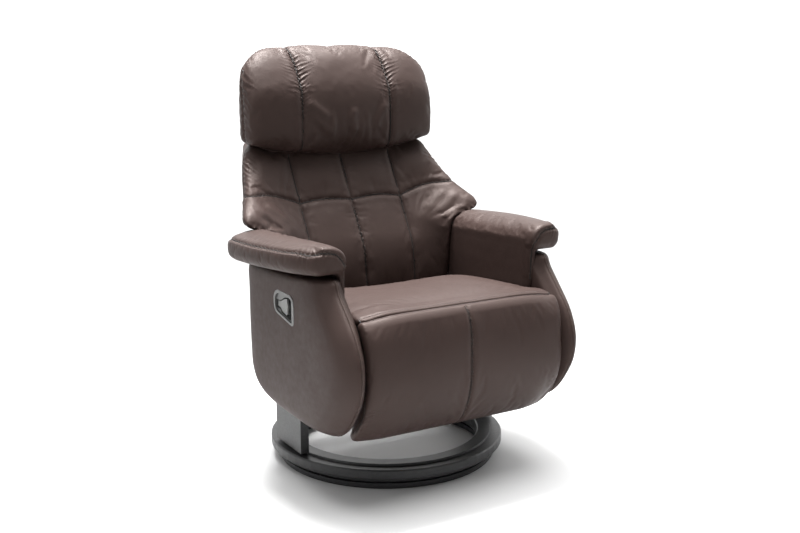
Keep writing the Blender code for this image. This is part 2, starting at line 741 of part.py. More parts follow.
def add_back_shell():
    z = (BACK_BOTTOM_Z + 0.004, BACK_TOP_Z - 0.0225)
    outline = [(rear_y(z[0]) - SHELL_T, z[0]), (rear_y(z[0]), z[0]), (rear_y(z[1]), z[1])]
    outline.append((rear_y(z[1]) - SHELL_T, z[1]))
    half_w = POCKET_HALF_W - 0.0010
    hang(prism("back_shell", outline, "X", -half_w, half_w), "backrest", LINING)


def add_back_frame():
    top = (tube_y(TOP_BAR_Z), TOP_BAR_Z)
    inner_x = TUBE_X - TUBE_R - GAP
    for side, sign in SIDES:
        x = TUBE_X * sign
        tube = rod(f"back_tube_{side}", (x, *RECLINE_AXIS), (x, *top), TUBE_R)
        eye_x = (x - TUBE_R, x + TUBE_R)
        weld(tube, x_rod(f"tube_eye_{side}", eye_x, RECLINE_AXIS, 0.0175))
        cut(tube, x_rod(f"tube_bore_{side}", sided((0.16, 0.23), sign), RECLINE_AXIS, SHAFT_R + GAP))
        hang(tube, "backrest", STEEL)
    low = (tube_y(BOTTOM_BAR_Z), BOTTOM_BAR_Z)
    for name, centre in (("top", top), ("bottom", low)):
        hang(x_rod(f"back_bar_{name}", (-inner_x, inner_x), centre, TUBE_R), "backrest", STEEL)
    for number, z in enumerate((0.530, 0.620), 1):
        front = tube_y(z) - 0.006
        strap = [(front, z - 0.030), (front + 0.002, z - 0.030)]
        rise = REAR_SLOPE * 0.060
        strap += [(front + 0.002 + rise, z + 0.030), (front + rise, z + 0.030)]
        hang(prism(f"back_webbing_{number}", strap, "X", -inner_x + 0.003, inner_x - 0.003), "backrest", WEBBING)


def add_headrest_hinge():
    """Plates on the top bar carry the headrest's arms, each on a stud at the headrest axis."""
    top = (tube_y(TOP_BAR_Z), TOP_BAR_Z)
    y_a, z_a = HEADREST_AXIS
    for side, sign in SIDES:
        plate_x = (HEAD_PLATE_X, HEAD_PLATE_X + STEEL_T)
        outline = hull(circle(y_a, z_a, 0.011) + circle(*top, 0.010))
        plate = prism(f"headrest_bracket_{side}", outline, "X", *sided(plate_x, sign))
        cut(plate, x_rod(f"bar_saddle_{side}", sided((0.08, 0.10), sign), top, TUBE_R + GAP))
        weld(plate, x_rod(f"headrest_stud_{side}", sided((HEAD_ARM_X, 0.092), sign), (y_a, z_a), STUD_R, 12))
        hang(plate, "backrest", STEEL)
        arm_x = (HEAD_ARM_X, HEAD_PLATE_X - GAP)
        blade = [(y_a - 0.006, 0.890), (y_a + 0.0115, 0.890), (y_a + 0.0115, 0.800)]
        arm = prism(f"headrest_arm_{side}", hull(circle(y_a, z_a, 0.011) + blade), "X", *sided(arm_x, sign))
        cut(arm, x_rod(f"arm_hole_{side}", sided((0.08, 0.10), sign), (y_a, z_a), STUD_R + GAP, 12))
        hang(arm, "headrest", STEEL)
    hang(box("headrest_board", (-0.120, 0.120), (0.2468, 0.2590), (0.802, 0.925)), "headrest", PLYWOOD)


def add_headrest_cushion():
    levels = [
        (0.757, 0.230, 0.235, 0.382),
        (0.766, 0.212, 0.262, 0.385),
        (0.785, 0.204, 0.274, 0.388),
        (0.850, 0.200, 0.277, 0.394),
        (0.915, 0.201, 0.278, 0.397),
        (0.950, 0.211, 0.275, 0.397),
        (0.985, 0.232, 0.262, 0.390),
        (1.012, 0.256, 0.240, 0.377),
        (1.030, 0.276, 0.205, 0.360),
        (1.036, 0.298, 0.160, 0.342),
    ]
    rings = []
    for z, front, half_w, rear in levels:
        deep = rear - front
        side = [(half_w - 0.045, front), (half_w - 0.012, front + 0.012), (half_w, front + 0.20 * deep)]
        side += [(0.91 * half_w, front + 0.52 * deep), (0.83 * half_w, front + 0.78 * deep), (0.70 * half_w, rear)]
        rings.append([(x, y, z) for x, y in side] + [(-x, y, z) for x, y in reversed(side)])
    cushion = loft("headrest_cushion", rings)
    cut(cushion, box("hinge_pocket", (-0.125, 0.125), (0.219, 0.305), (0.74, 0.8016)))
    cut(cushion, box("board_pocket", (-0.1204, 0.1204), (0.2225, 0.2594), (0.79, 0.9254)))
    hang(cushion, "headrest", LEATHER)


def build():
    clear_scene()
    add_pivot("base", (0, 0, 0))
    add_pivot("chair", (0, 0, 0), "base")
    add_pivot("backrest", (0, *RECLINE_AXIS), "chair")
    add_pivot("headrest", (0, *HEADREST_AXIS), "backrest")
    add_pivot("legrest", (0, *LEGREST_AXIS), "chair")
    add_pivot("drive", (0, *DRIVE_AXIS), "chair")
    add_pivot("link_left", (0, *CRANK_END), "drive")
    add_pivot("link_right", (0, *CRANK_END), "drive")
    add_pivot("paddle", (*PADDLE_AXIS, 0.4435), "chair")
    add_base()
    add_base_ring()
    add_seat_frame()
    add_seat_springs()
    add_seat_cushion()
    for side, sign in SIDES:
        add_side_plate(side, sign)
        add_side_panel(side, sign)
        add_arm(side, sign)
        add_push_link(side, sign)
    add_bezel()
    add_paddle()
    add_release_cable()
    add_drive()
    add_legrest()
    add_back_frame()
    add_back_cushion()
    add_back_shell()
    add_headrest_hinge()
    add_headrest_cushion()


build()
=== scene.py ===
"""Swivel recliner armchair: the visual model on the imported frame. Metres, +Z up, -Y to the front."""

import math

import json

import bmesh
import bpy
import numpy as np
from mathutils import Matrix, Vector


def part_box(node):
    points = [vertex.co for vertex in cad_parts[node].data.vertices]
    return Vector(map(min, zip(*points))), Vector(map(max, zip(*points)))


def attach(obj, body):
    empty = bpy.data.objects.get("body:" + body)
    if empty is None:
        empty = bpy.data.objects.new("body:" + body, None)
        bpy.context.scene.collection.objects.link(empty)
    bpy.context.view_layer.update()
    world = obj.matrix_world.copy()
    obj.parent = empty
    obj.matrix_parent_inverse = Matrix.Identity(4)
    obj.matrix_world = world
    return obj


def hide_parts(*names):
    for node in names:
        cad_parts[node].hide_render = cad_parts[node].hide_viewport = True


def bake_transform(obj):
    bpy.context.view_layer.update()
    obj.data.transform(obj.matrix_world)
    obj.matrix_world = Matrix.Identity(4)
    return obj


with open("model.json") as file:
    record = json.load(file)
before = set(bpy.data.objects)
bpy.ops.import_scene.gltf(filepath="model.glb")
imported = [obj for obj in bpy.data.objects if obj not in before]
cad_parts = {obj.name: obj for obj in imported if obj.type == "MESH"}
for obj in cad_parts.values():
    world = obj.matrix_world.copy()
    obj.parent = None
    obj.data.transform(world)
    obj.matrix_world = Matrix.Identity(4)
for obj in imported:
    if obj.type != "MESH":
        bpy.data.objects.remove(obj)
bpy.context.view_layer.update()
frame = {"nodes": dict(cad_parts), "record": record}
SIDES = (("left", -1), ("right", 1))
CLOTH_FRAMES = 20
STITCH_LENGTH, STITCH_GAP, STITCH_RADIUS, STITCH_LIFT = 0.0045, 0.0022, 0.00055, 0.0004


# ---- mesh helpers


def link(obj):
    bpy.context.scene.collection.objects.link(obj)
    return obj


def mesh_object(name, points, faces):
    mesh = bpy.data.meshes.new(name)
    mesh.from_pydata([tuple(map(float, p)) for p in points], [], faces)
    obj = link(bpy.data.objects.new(name, mesh))
    face_outwards(obj)
    return obj


def face_outwards(obj):
    bm = bmesh.new()
    bm.from_mesh(obj.data)
    bmesh.ops.recalc_face_normals(bm, faces=bm.faces[:])
    bm.to_mesh(obj.data)
    bm.free()


def loft(name, rings, pointed=True):
    """A closed skin over rings of equally many points. Each end closes to its middle, or stays flat."""
    count = len(rings[0])
    points = [p for ring in rings for p in ring]
    faces = []
    for k in range(len(rings) - 1):
        for i in range(count):
            j = (i + 1) % count
            faces.append((k * count + i, k * count + j, (k + 1) * count + j, (k + 1) * count + i))
    last = (len(rings) - 1) * count
    if pointed:
        for start, ring in ((0, rings[0]), (last, rings[-1])):
            points.append(np.mean(np.array(ring, float), axis=0))
            middle = len(points) - 1
            faces += [(start + i, start + (i + 1) % count, middle) for i in range(count)]
    else:
        faces += [tuple(range(count)), tuple(range(last, last + count))]
    return mesh_object(name, points, faces)


def cubic(a, b, c, d, t):
    """The point at t, 0 to 1, between b and c on a smooth curve through all four."""
    squared, cubed = 2 * a - 5 * b + 4 * c - d, 3 * b - a - 3 * c + d
    return 0.5 * (2 * b + (c - a) * t + squared * t**2 + cubed * t**3)


def through(values, factor, closed):
    """Points on smooth curves through the given ones, along the first axis, that many times as many."""
    v = np.asarray(values, float)
    if closed:
        padded = np.concatenate([v[-1:], v, v[:2]])
    else:
        padded = np.concatenate([2 * v[:1] - v[1:2], v, 2 * v[-1:] - v[-2:-1]])
    four = padded[:-3], padded[1:-2], padded[2:-1], padded[3:]
    steps = [cubic(*four, t) for t in np.arange(factor) / factor]
    made = np.stack(steps, axis=1).reshape(-1, *v.shape[1:])
    return made if closed else np.concatenate([made, v[-1:]])


def skin(name, rings, around=4, along=4, pointed=True):
    """A closed smooth skin that passes through every point of the rings."""
    fine = through(rings, along, False)
    fine = np.swapaxes(through(np.swapaxes(fine, 0, 1), around, True), 0, 1)
    return loft(name, fine, pointed)


def coords(obj):
    flat = np.empty(len(obj.data.vertices) * 3)
    obj.data.vertices.foreach_get("co", flat)
    return flat.reshape(-1, 3)


def set_coords(obj, co):
    obj.data.vertices.foreach_set("co", np.ascontiguousarray(co, float).ravel())
    obj.data.update()


def normals(obj):
    flat = np.empty(len(obj.data.vertices) * 3)
    obj.data.vertex_normals.foreach_get("vector", flat)
    return flat.reshape(-1, 3)


def push(obj, amount):
    """Moves each vertex along its normal by its amount."""
    set_coords(obj, coords(obj) + normals(obj) * np.asarray(amount)[:, None])


def push_some(obj, which, amount):
    """Moves these vertices along their normals."""
    moved = np.zeros(len(obj.data.vertices))
    moved[which] = amount
    push(obj, moved)


def modify(obj, kind, **settings):
    """Applies a modifier with these settings."""
    modifier = obj.modifiers.new(kind.lower(), kind)
    for name, value in settings.items():
        setattr(modifier, name, value)
    graph = bpy.context.evaluated_depsgraph_get()
    mesh = bpy.data.meshes.new_from_object(obj.evaluated_get(graph))
    obj.modifiers.clear()
    obj.data = mesh


def subdivide(obj, levels=1):
    modify(obj, "SUBSURF", levels=levels, render_levels=levels)


def remesh(obj, voxel):
    modify(obj, "REMESH", mode="VOXEL", voxel_size=voxel)


def relax(obj, steps):
    modify(obj, "SMOOTH", iterations=steps, factor=0.5)


def cut_away(obj, other):
    modify(obj, "BOOLEAN", object=other, operation="DIFFERENCE", solver="EXACT")
    bpy.data.objects.remove(other, do_unlink=True)


def join(name, objects):
    """One mesh object out of several."""
    bm = bmesh.new()
    for obj in objects:
        bm.from_mesh(obj.data)
        bpy.data.objects.remove(obj, do_unlink=True)
    mesh = bpy.data.meshes.new(name)
    bm.to_mesh(mesh)
    bm.free()
    return link(bpy.data.objects.new(name, mesh))


def box(name, low, high):
    x, y, z = zip(low, high)
    points = [(a, b, c) for a in x for b in y for c in z]
    faces = [(0, 1, 3, 2), (4, 6, 7, 5), (0, 4, 5, 1), (2, 3, 7, 6), (0, 2, 6, 4), (1, 5, 7, 3)]
    return mesh_object(name, points, faces)


def rounded_square(count, corner=0.07):
    """A square outline of half width 1 with small round corners."""
    points = []
    for turn in range(4):
        for k in range(count):
            t = -1 + corner + (2 - 2 * corner) * k / count
            points.append(Matrix.Rotation(turn * math.pi / 2, 2) @ Vector((t, -1)))
        for k in range(3):
            angle = -math.pi / 2 + (k + 0.5) * math.pi / 6
            spot = Vector((1 - corner + corner * math.cos(angle), -1 + corner + corner * math.sin(angle)))
            points.append(Matrix.Rotation(turn * math.pi / 2, 2) @ spot)
    return points


def inflate(obj, held, pressure, cap, slack):
    """Blows the closed mesh up as cloth. Held vertices stay, and no point moves further than the cap."""
    start = coords(obj)
    group = obj.vertex_groups.new(name="held")
    group.add([int(i) for i in np.flatnonzero(held)], 1.0, "REPLACE")
    modifier = obj.modifiers.new("cloth", "CLOTH")
    cloth = modifier.settings
    cloth.quality = 5
    cloth.vertex_group_mass = "held"
    cloth.bending_stiffness = 0.5
    cloth.use_pressure = True
    cloth.uniform_pressure_force = pressure
    cloth.shrink_min = -slack
    cloth.effector_weights.gravity = 0
    modifier.collision_settings.use_collision = False
    modifier.point_cache.frame_end = CLOTH_FRAMES
    for number in range(1, CLOTH_FRAMES + 1):
        bpy.context.scene.frame_set(number)
    move = coords(obj.evaluated_get(bpy.context.evaluated_depsgraph_get())) - start
    bpy.context.scene.frame_set(1)
    obj.modifiers.clear()
    obj.vertex_groups.clear()
    length = np.linalg.norm(move, axis=1, keepdims=True)
    move *= cap * np.tanh(length / cap) / np.maximum(length, 1e-9)
    set_coords(obj, start + move)


def smooth_noise(p, seed=0):
    """Value noise in -1..1 at an array of 3-D points."""
    p = np.asarray(p, float)
    low = np.floor(p).astype(np.int64)
    t = p - low
    t = t * t * (3 - 2 * t)
    total = np.zeros(len(p))
    for corner in range(8):
        bits = np.array([corner & 1, corner >> 1 & 1, corner >> 2 & 1])
        cell = low + bits
        mixed = cell @ np.array([374761393, 668265263, 2147483647]) + seed * 1274126177
        mixed = (mixed ^ (mixed >> 13)) * 1103515245 & 0xFFFFFFF
        value = ((mixed ^ (mixed >> 11)) & 0xFFFF) / 32767.5 - 1
        total += value * np.prod(np.where(bits, t, 1 - t), axis=1)
    return total


def smooth_step(x, low, high):
    t = np.clip((x - low) / (high - low), 0, 1)
    return t * t * (3 - 2 * t)


def lengths_along(line):
    """How far along the line each of its points is."""
    return np.concatenate([[0], np.cumsum(np.linalg.norm(np.diff(line, axis=0), axis=1))])


def spots_along(line, run, wanted):
    """The points at the wanted lengths along the line."""
    return np.stack([np.interp(wanted, run, line[:, k]) for k in range(3)], axis=1)


def resample(points, step):
    """Points a step apart along a smooth curve through the given ones."""
    p = np.array(points, float)
    p = np.vstack([2 * p[0] - p[1], p, 2 * p[-1] - p[-2]])
    t = np.linspace(0, 1, 24, endpoint=False)[:, None]
    fine = np.vstack([*(cubic(*four, t) for four in zip(p, p[1:], p[2:], p[3:])), p[-2:-1]])
    run = lengths_along(fine)
    return spots_along(fine, run, np.linspace(0, run[-1], max(3, int(run[-1] / step) + 1)))


def closest(obj, line):
    return np.array([obj.closest_point_on_mesh(Vector(p))[1] for p in line])


def laid(obj, points, step=0.002):
    """The curve through the points, moved onto the object's surface."""
    return closest(obj, resample(points, step))


def laid_again(obj, line):
    """The line's own points, moved onto the surface that has changed since."""
    bpy.context.view_layer.update()
    return closest(obj, line)


def beside(obj, line, reach):
    """Vertices within reach of a laid line: (which, distance, length along it, signed side)."""
    co, nm = coords(obj), normals(obj)
    low, high = line.min(axis=0) - reach, line.max(axis=0) + reach
    which = np.flatnonzero(np.all((co > low) & (co < high), axis=1))
    run = lengths_along(line)
    tangent = np.gradient(line, axis=0)
    nearest, distance = np.zeros(len(which), int), np.zeros(len(which))
    for first in range(0, len(which), 4000):
        part = co[which[first : first + 4000]]
        gap = np.linalg.norm(part[:, None] - line[None], axis=2)
        nearest[first : first + 4000] = gap.argmin(axis=1)
        distance[first : first + 4000] = gap.min(axis=1)
    keep = distance < reach
    which, nearest, distance = which[keep], nearest[keep], distance[keep]
    across = np.cross(tangent[nearest], nm[which])
    side = np.sign(np.einsum("ij,ij->i", across, co[which] - line[nearest]))
    return which, distance, run[nearest], side


def groove(obj, line, depth, width, swell, swell_at):
    """Presses a seam into the surface, with the leather swelling a little on both sides of it."""
    which, d, run, _ = beside(obj, line, 0.045)
    ends = smooth_step(np.minimum(run, run.max() - run), -0.001, 0.006)
    flanks = swell * np.exp(-(((d - swell_at) / (0.8 * swell_at)) ** 2))
    push_some(obj, which, (flanks - depth * np.exp(-((d / width) ** 2))) * ends)


def gathers(obj, line, reach, height, spacing, slant, part, seed):
    """Short ruches that run away from a seam and die out, uneven in spacing and length."""
    which, d, run, side = beside(obj, line, reach * 1.3)
    share = run / run.max()
    wobble = smooth_noise(np.stack([run / (spacing * 3.1), side * 3.7 + 11, d * 20], 1), seed)
    phase = (run + slant * d) / spacing + 0.9 * wobble
    wave = 1 - 2 * np.abs(np.sin(math.pi * phase)) ** 0.8
    length = reach * (0.75 + 0.45 * smooth_noise(np.stack([phase, side * 5.3 + 3, 0 * d], 1), seed + 5))
    fade = np.clip(1 - d / length, 0, 1) ** 1.3 * smooth_step(d, -0.002, 0.004)
    along = smooth_step(share, part[0] - 0.04, part[0] + 0.04)
    along *= 1 - smooth_step(share, part[1] - 0.04, part[1] + 0.04)
    strength = 0.6 + 0.4 * smooth_noise(np.stack([phase * 0.7, side * 9.1, 0 * d + 7], 1), seed + 9)
    push_some(obj, which, height * wave * fade * along * strength * np.abs(side))


def fold(obj, points, height, width):
    """One soft ridge along a line, with a shallow valley on one side, that fades at both ends."""
    line = laid(obj, points, 0.004)
    which, d, run, side = beside(obj, line, width * 3.2)
    share = run / run.max()
    fade = smooth_step(share, 0, 0.25) * (1 - smooth_step(share, 0.75, 1))
    valley = 0.35 * np.exp(-(((d - 1.7 * width) / (0.8 * width)) ** 2)) * (side > 0)
    push_some(obj, which, height * fade * (np.exp(-((d / width) ** 2)) - valley))


def tube(name, line, radius, sides, lift, obj, shift=0.0):
    """A closed tube along a line, lifted off the object's surface and shifted sideways over it."""
    along = np.gradient(line, axis=0)
    along /= np.linalg.norm(along, axis=1, keepdims=True)
    up = np.array([obj.closest_point_on_mesh(Vector(p))[2] for p in line])
    side = np.cross(along, up)
    side /= np.linalg.norm(side, axis=1, keepdims=True)
    up = np.cross(side, along)
    line = line + up * lift + side * shift
    turns = 2 * math.pi * np.arange(sides) / sides
    around = [(math.cos(t), math.sin(t)) for t in turns]
    rings = [[p + radius * (a * s + b * u) for a, b in around] for p, s, u in zip(line, side, up)]
    return loft(name, rings)


def stitches(name, line, obj):
    """A row of thread stitches lying on the object's surface along a line."""
    run = lengths_along(line)
    around = [(math.cos(t), math.sin(t)) for t in (0.0, 1.2566, 2.5133, 3.7699, 5.0265)]
    shape = np.array([0.25, 0.9, 1.0, 0.9, 0.25]) * STITCH_RADIUS
    sink = np.array([-1.2, 0.2, 0.6, 0.2, -1.2]) * STITCH_RADIUS
    points, faces = [], []
    at = 0.0
    while at + STITCH_LENGTH < run[-1]:
        spots = spots_along(line, run, at + STITCH_LENGTH * np.array([0.0, 0.2, 0.5, 0.8, 1.0]))
        at += STITCH_LENGTH + STITCH_GAP
        up = np.array(obj.closest_point_on_mesh(Vector(spots[2]))[2])
        side = np.cross(spots[-1] - spots[0], up)
        side /= np.linalg.norm(side)
        first = len(points)
        for spot, r, z in zip(spots, shape, sink):
            points += [spot + up * (STITCH_LIFT + z) + r * (a * side + b * up) for a, b in around]
        for k in range(first, first + 20, 5):
            for i in range(5):
                j = (i + 1) % 5
                faces.append((k + i, k + j, k + 5 + j, k + 5 + i))
        faces += [tuple(range(first, first + 5)), tuple(range(first + 20, first + 25))]
    return mesh_object(name, points, faces)


def finish_piece(obj, body, material, slot, *nodes, blend=None):
    """Smooth shading, material, body and the CAD nodes that the piece stands for. The record slot is not
    used.
    """
    obj.data.materials.clear()
    obj.data.materials.append(material)
    obj.data.shade_smooth()
    if blend:
        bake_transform(obj)
    else:
        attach(obj, body)
    if nodes:
        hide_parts(*nodes)


# ---- materials


def new_material(name, roughness, metallic=0.0, specular=0.5):
    made = bpy.data.materials.new(name)
    made.use_nodes = True
    tree = made.node_tree
    shader = tree.nodes["Principled BSDF"]
    for key, value in (("Roughness", roughness), ("Metallic", metallic), ("Specular IOR Level", specular)):
        shader.inputs[key].default_value = value
    place = tree.nodes.new("ShaderNodeTexCoord")
    return made, tree, shader, place.outputs["Object"]


def texture(tree, place, kind, scale, **values):
    node = tree.nodes.new(f"ShaderNodeTex{kind}")
    stretch = values.pop("stretch", None)
    if stretch:
        mapping = tree.nodes.new("ShaderNodeMapping")
        mapping.inputs["Scale"].default_value = stretch
        tree.links.new(place, mapping.inputs["Vector"])
        place = mapping.outputs["Vector"]
    tree.links.new(place, node.inputs["Vector"])
    node.inputs["Scale"].default_value = scale
    for key, value in values.items():
        node.inputs[key.replace("_", " ").title()].default_value = value
    return node.outputs[0]


def ranged(tree, value, low, high, from_low=0.3, from_high=0.7):
    node = tree.nodes.new("ShaderNodeMapRange")
    for name, at in (("From Min", from_low), ("From Max", from_high), ("To Min", low), ("To Max", high)):
        node.inputs[name].default_value = at
    tree.links.new(value, node.inputs["Value"])
    return node.outputs["Result"]


def blend_colour(tree, factor, first, second):
    node = tree.nodes.new("ShaderNodeMix")
    node.data_type = "RGBA"
    for socket, value in ((node.inputs[6], first), (node.inputs[7], second)):
        if isinstance(value, tuple):
            socket.default_value = (*value, 1.0)
        else:
            tree.links.new(value, socket)
    tree.links.new(factor, node.inputs[0])
    return node.outputs[2]


def bump(tree, height, distance, strength, below=None):
    node = tree.nodes.new("ShaderNodeBump")
    node.inputs["Distance"].default_value = distance
    node.inputs["Strength"].default_value = strength
    tree.links.new(height, node.inputs["Height"])
    if below:
        tree.links.new(below, node.inputs["Normal"])
    return node.outputs["Normal"]


def feed(tree, shader, **sources):
    """Links each source to the shader's input of that name."""
    for name, source in sources.items():
        tree.links.new(source, shader.inputs[name.replace("_", " ").title()])


def leather_material(name, dark, light):
    made, tree, shader, place = new_material(name, 0.45, specular=0.27)
    broad = texture(tree, place, "Noise", 5.0, detail=3.0)
    fine = texture(tree, place, "Noise", 60.0, detail=4.0, roughness=0.6)
    colour = blend_colour(tree, ranged(tree, broad, 0, 1), dark, light)
    worn = blend_colour(tree, ranged(tree, fine, 0.0, 0.35), colour, tuple(1.25 * c for c in light))
    soft = bump(tree, fine, 0.0006, 0.35)
    pebbled = bump(tree, texture(tree, place, "Voronoi", 620.0), 0.00018, 0.5, soft)
    feed(tree, shader, base_color=worn, roughness=ranged(tree, fine, 0.49, 0.6), normal=pebbled)
    shader.inputs["Specular Tint"].default_value = (0.95, 0.8, 0.74, 1.0)
    return made


def wood_material(name):
    """Open-pored wood under a nearly black satin stain."""
    made, tree, shader, place = new_material(name, 0.45)
    grain = texture(tree, place, "Noise", 26.0, detail=6.0, roughness=0.65, stretch=(1.0, 9.0, 9.0))
    pores = texture(tree, place, "Noise", 240.0, detail=2.0, stretch=(0.25, 1.0, 1.0))
    colour = blend_colour(tree, ranged(tree, grain, 0, 1), (0.01, 0.01, 0.0105), (0.024, 0.024, 0.025))
    rough = ranged(tree, grain, 0.36, 0.54)
    feed(tree, shader, base_color=colour, roughness=rough, normal=bump(tree, pores, 0.0004, 0.4))
    return made


def plain_material(name, dark, light, roughness, metallic=0.0, scale=90.0, height=0.0001, stretch=None):
    """A solid finish with slight mottling, in colour, gloss and surface."""
    made, tree, shader, place = new_material(name, roughness, metallic)
    values = {"detail": 4.0}
    if stretch:
        values["stretch"] = stretch
    cloud = texture(tree, place, "Noise", scale, **values)
    colour = blend_colour(tree, ranged(tree, cloud, 0, 1), dark, light)
    rough = ranged(tree, cloud, 0.88 * roughness, 1.12 * roughness)
    feed(tree, shader, base_color=colour, roughness=rough, normal=bump(tree, cloud, height, 0.5))
    return made


def woven_material(name, dark, light, threads=900.0):
    made, tree, shader, place = new_material(name, 0.9)
    waves = []
    for direction in ("X", "Z"):
        wave = tree.nodes.new("ShaderNodeTexWave")
        wave.bands_direction = direction
        wave.inputs["Scale"].default_value = threads / 6.28
        tree.links.new(place, wave.inputs["Vector"])
        waves.append(wave.outputs[1])
    crossed = tree.nodes.new("ShaderNodeMath")
    crossed.operation = "MULTIPLY"
    tree.links.new(waves[0], crossed.inputs[0])
    tree.links.new(waves[1], crossed.inputs[1])
    weave = crossed.outputs[0]
    colour = blend_colour(tree, weave, dark, light)
    feed(tree, shader, base_color=colour, normal=bump(tree, weave, 0.0004, 0.6))
    return made


LEATHER = leather_material("leather", (0.0275, 0.0169, 0.0147), (0.0322, 0.0201, 0.0175))
# A lighter copy of the leather: painted highlight on the turned edges beside the seams and on the panel
# piping.
HIGHLIGHT_LEATHER = leather_material("leather_painted_highlight", (0.04, 0.027, 0.0238), (0.048, 0.033, 0.029))
SEAM = plain_material("seam_shadow", (0.006, 0.0042, 0.0037), (0.01, 0.0072, 0.0062), 0.75, 0.0, 300.0)
THREAD = plain_material(
    "sewing_thread", (0.075, 0.055, 0.05), (0.11, 0.085, 0.078), 0.6, 0.0, 900.0, 0.0003
)
WOOD = wood_material("stained_wood")
STEEL = plain_material("black_steel", (0.02, 0.02, 0.021), (0.032, 0.032, 0.034), 0.42, 0.3, 140.0)
ZINC = plain_material("zinc_steel", (0.42, 0.42, 0.43), (0.55, 0.55, 0.56), 0.35, 1.0, 160.0)
RUBBER = plain_material("rubber", (0.012, 0.012, 0.012), (0.022, 0.022, 0.022), 0.8, 0.0, 300.0, 0.0002)
POLYMER = plain_material("black_plastic", (0.01, 0.01, 0.011), (0.018, 0.018, 0.019), 0.5, 0.0, 500.0)
BEZEL = plain_material("silver_plastic", (0.115, 0.115, 0.112), (0.145, 0.145, 0.141), 0.34, 0.2, 400.0)
PADDLE = plain_material("grey_plastic", (0.19, 0.19, 0.185), (0.23, 0.23, 0.225), 0.4, 0.1, 400.0)
PLYWOOD = plain_material(
    "plywood", (0.3, 0.19, 0.1), (0.46, 0.32, 0.18), 0.7, 0.0, 30.0, 0.0003, (1.0, 8.0, 8.0)
)
LINING = woven_material("lining", (0.01, 0.009, 0.009), (0.034, 0.031, 0.031))
WEBBING = woven_material("webbing", (0.02, 0.02, 0.022), (0.075, 0.075, 0.08), 500.0)

NODE_MATERIALS = {
    "rubber": RUBBER,
    "steel": STEEL,
    "plastic": POLYMER,
    "wood": WOOD,
    "plywood": PLYWOOD,
    "zinc": ZINC,
    "grey_plastic": BEZEL,
    "webbing": WEBBING,
    "lining": LINING,
    "leather": LEATHER,
}


def dress_nodes():
    """Every CAD node that stays gets the material of its record slot."""
    for part in frame["record"]["subparts"]:
        node = frame["nodes"][part["node"]]
        node.data.materials.clear()
        node.data.materials.append(NODE_MATERIALS[part["material_slot"]])
    frame["nodes"]["release_paddle"].data.materials[0] = PADDLE


# ---- soft pieces


def interpolated(x, table):
    """Row of a table of (x, values…) at x, on a smooth curve through the rows."""
    rows = np.array(table, float)
    k = int(np.clip(np.searchsorted(rows[:, 0], x) - 1, 0, len(rows) - 2))
    a, b, c, d = (rows[min(max(k + i, 0), len(rows) - 1)] for i in (-1, 0, 1, 2))
    t = (x - b[0]) / (c[0] - b[0])
    return cubic(a, b, c, d, t)[1:]


def mirrored(points, sign):
    """The points of the right side, or their mirror images where the sign is -1."""
    return [(x * sign, y, z) for x, y, z in points]


def across(half, *places):
    """Places on both sides of the middle, from left to right: (-half … half)."""
    return sorted({s * x for s in (-1, 1) for x in (half, *places)})


def near_lines(obj, lines, reach):
    """True at each vertex within reach of one of the lines."""
    found = np.zeros(len(obj.data.vertices), bool)
    for line in lines:
        found[beside(obj, line, reach)[0]] = True
    return found


def seam_line(name, obj, line, body, blend=None):
    """The dark joint at the bottom of a seam's groove, between the two turned edges of the leather, which
    are drawn lighter than the leather as a painted highlight.
    """
    line = laid_again(obj, line)
    edges = [tube(name, line, 0.001, 6, 0.0002, obj, shift) for shift in (-0.0024, 0.0024)]
    # The turned edges are painted lighter than the leather: a painted highlight on both sides of the seam.
    finish_piece(join(f"{name}_edges", edges), body, HIGHLIGHT_LEATHER, "leather", blend=blend)
    finish_piece(tube(name, line, 0.0015, 6, -0.0002, obj), body, SEAM, "leather", blend=blend)


def headrest_at(x):
    """(front, rear, bottom, top) of the headrest's section at x."""
    return interpolated(
        abs(x),
        (
            (-0.06, 0.198, 0.384, 0.759, 1.038),
            (0.0, 0.198, 0.384, 0.759, 1.038),
            (0.07, 0.198, 0.384, 0.759, 1.037),
            (0.13, 0.1985, 0.382, 0.763, 1.028),
            (0.18, 0.1985, 0.368, 0.77, 1.027),
            (0.215, 0.2, 0.346, 0.778, 1.018),
            (0.243, 0.203, 0.323, 0.784, 0.999),
            (0.261, 0.208, 0.302, 0.788, 0.977),
            (0.2705, 0.216, 0.284, 0.795, 0.946),
        ),
    )


HEADREST_LOOP = (
    (0.06, 0.03), (0.0, 0.15), (-0.01, 0.33), (0.0, 0.52), (0.03, 0.61), (0.1, 0.7), (0.22, 0.83),
    (0.38, 0.95), (0.54, 1.0), (0.72, 0.975), (0.88, 0.88), (0.97, 0.72), (1.0, 0.5), (0.985, 0.25),
    (0.93, 0.08), (0.8, 0.01), (0.5, 0.0), (0.22, 0.0),
)  # fmt: skip


HEADREST_SEAM_X = 0.13
HEADREST_EDGE = (
    (0.25, 0.245, 0.78), (0.272, 0.25, 0.805), (0.282, 0.254, 0.86), (0.28, 0.26, 0.92),
    (0.266, 0.272, 0.97), (0.24, 0.29, 1.003), (0.2, 0.305, 1.022), (0.15, 0.312, 1.028),
)  # fmt: skip


def headrest_ring(x):
    front, rear, bottom, top = headrest_at(x)
    return [(x, front + a * (rear - front), bottom + b * (top - bottom)) for a, b in HEADREST_LOOP]


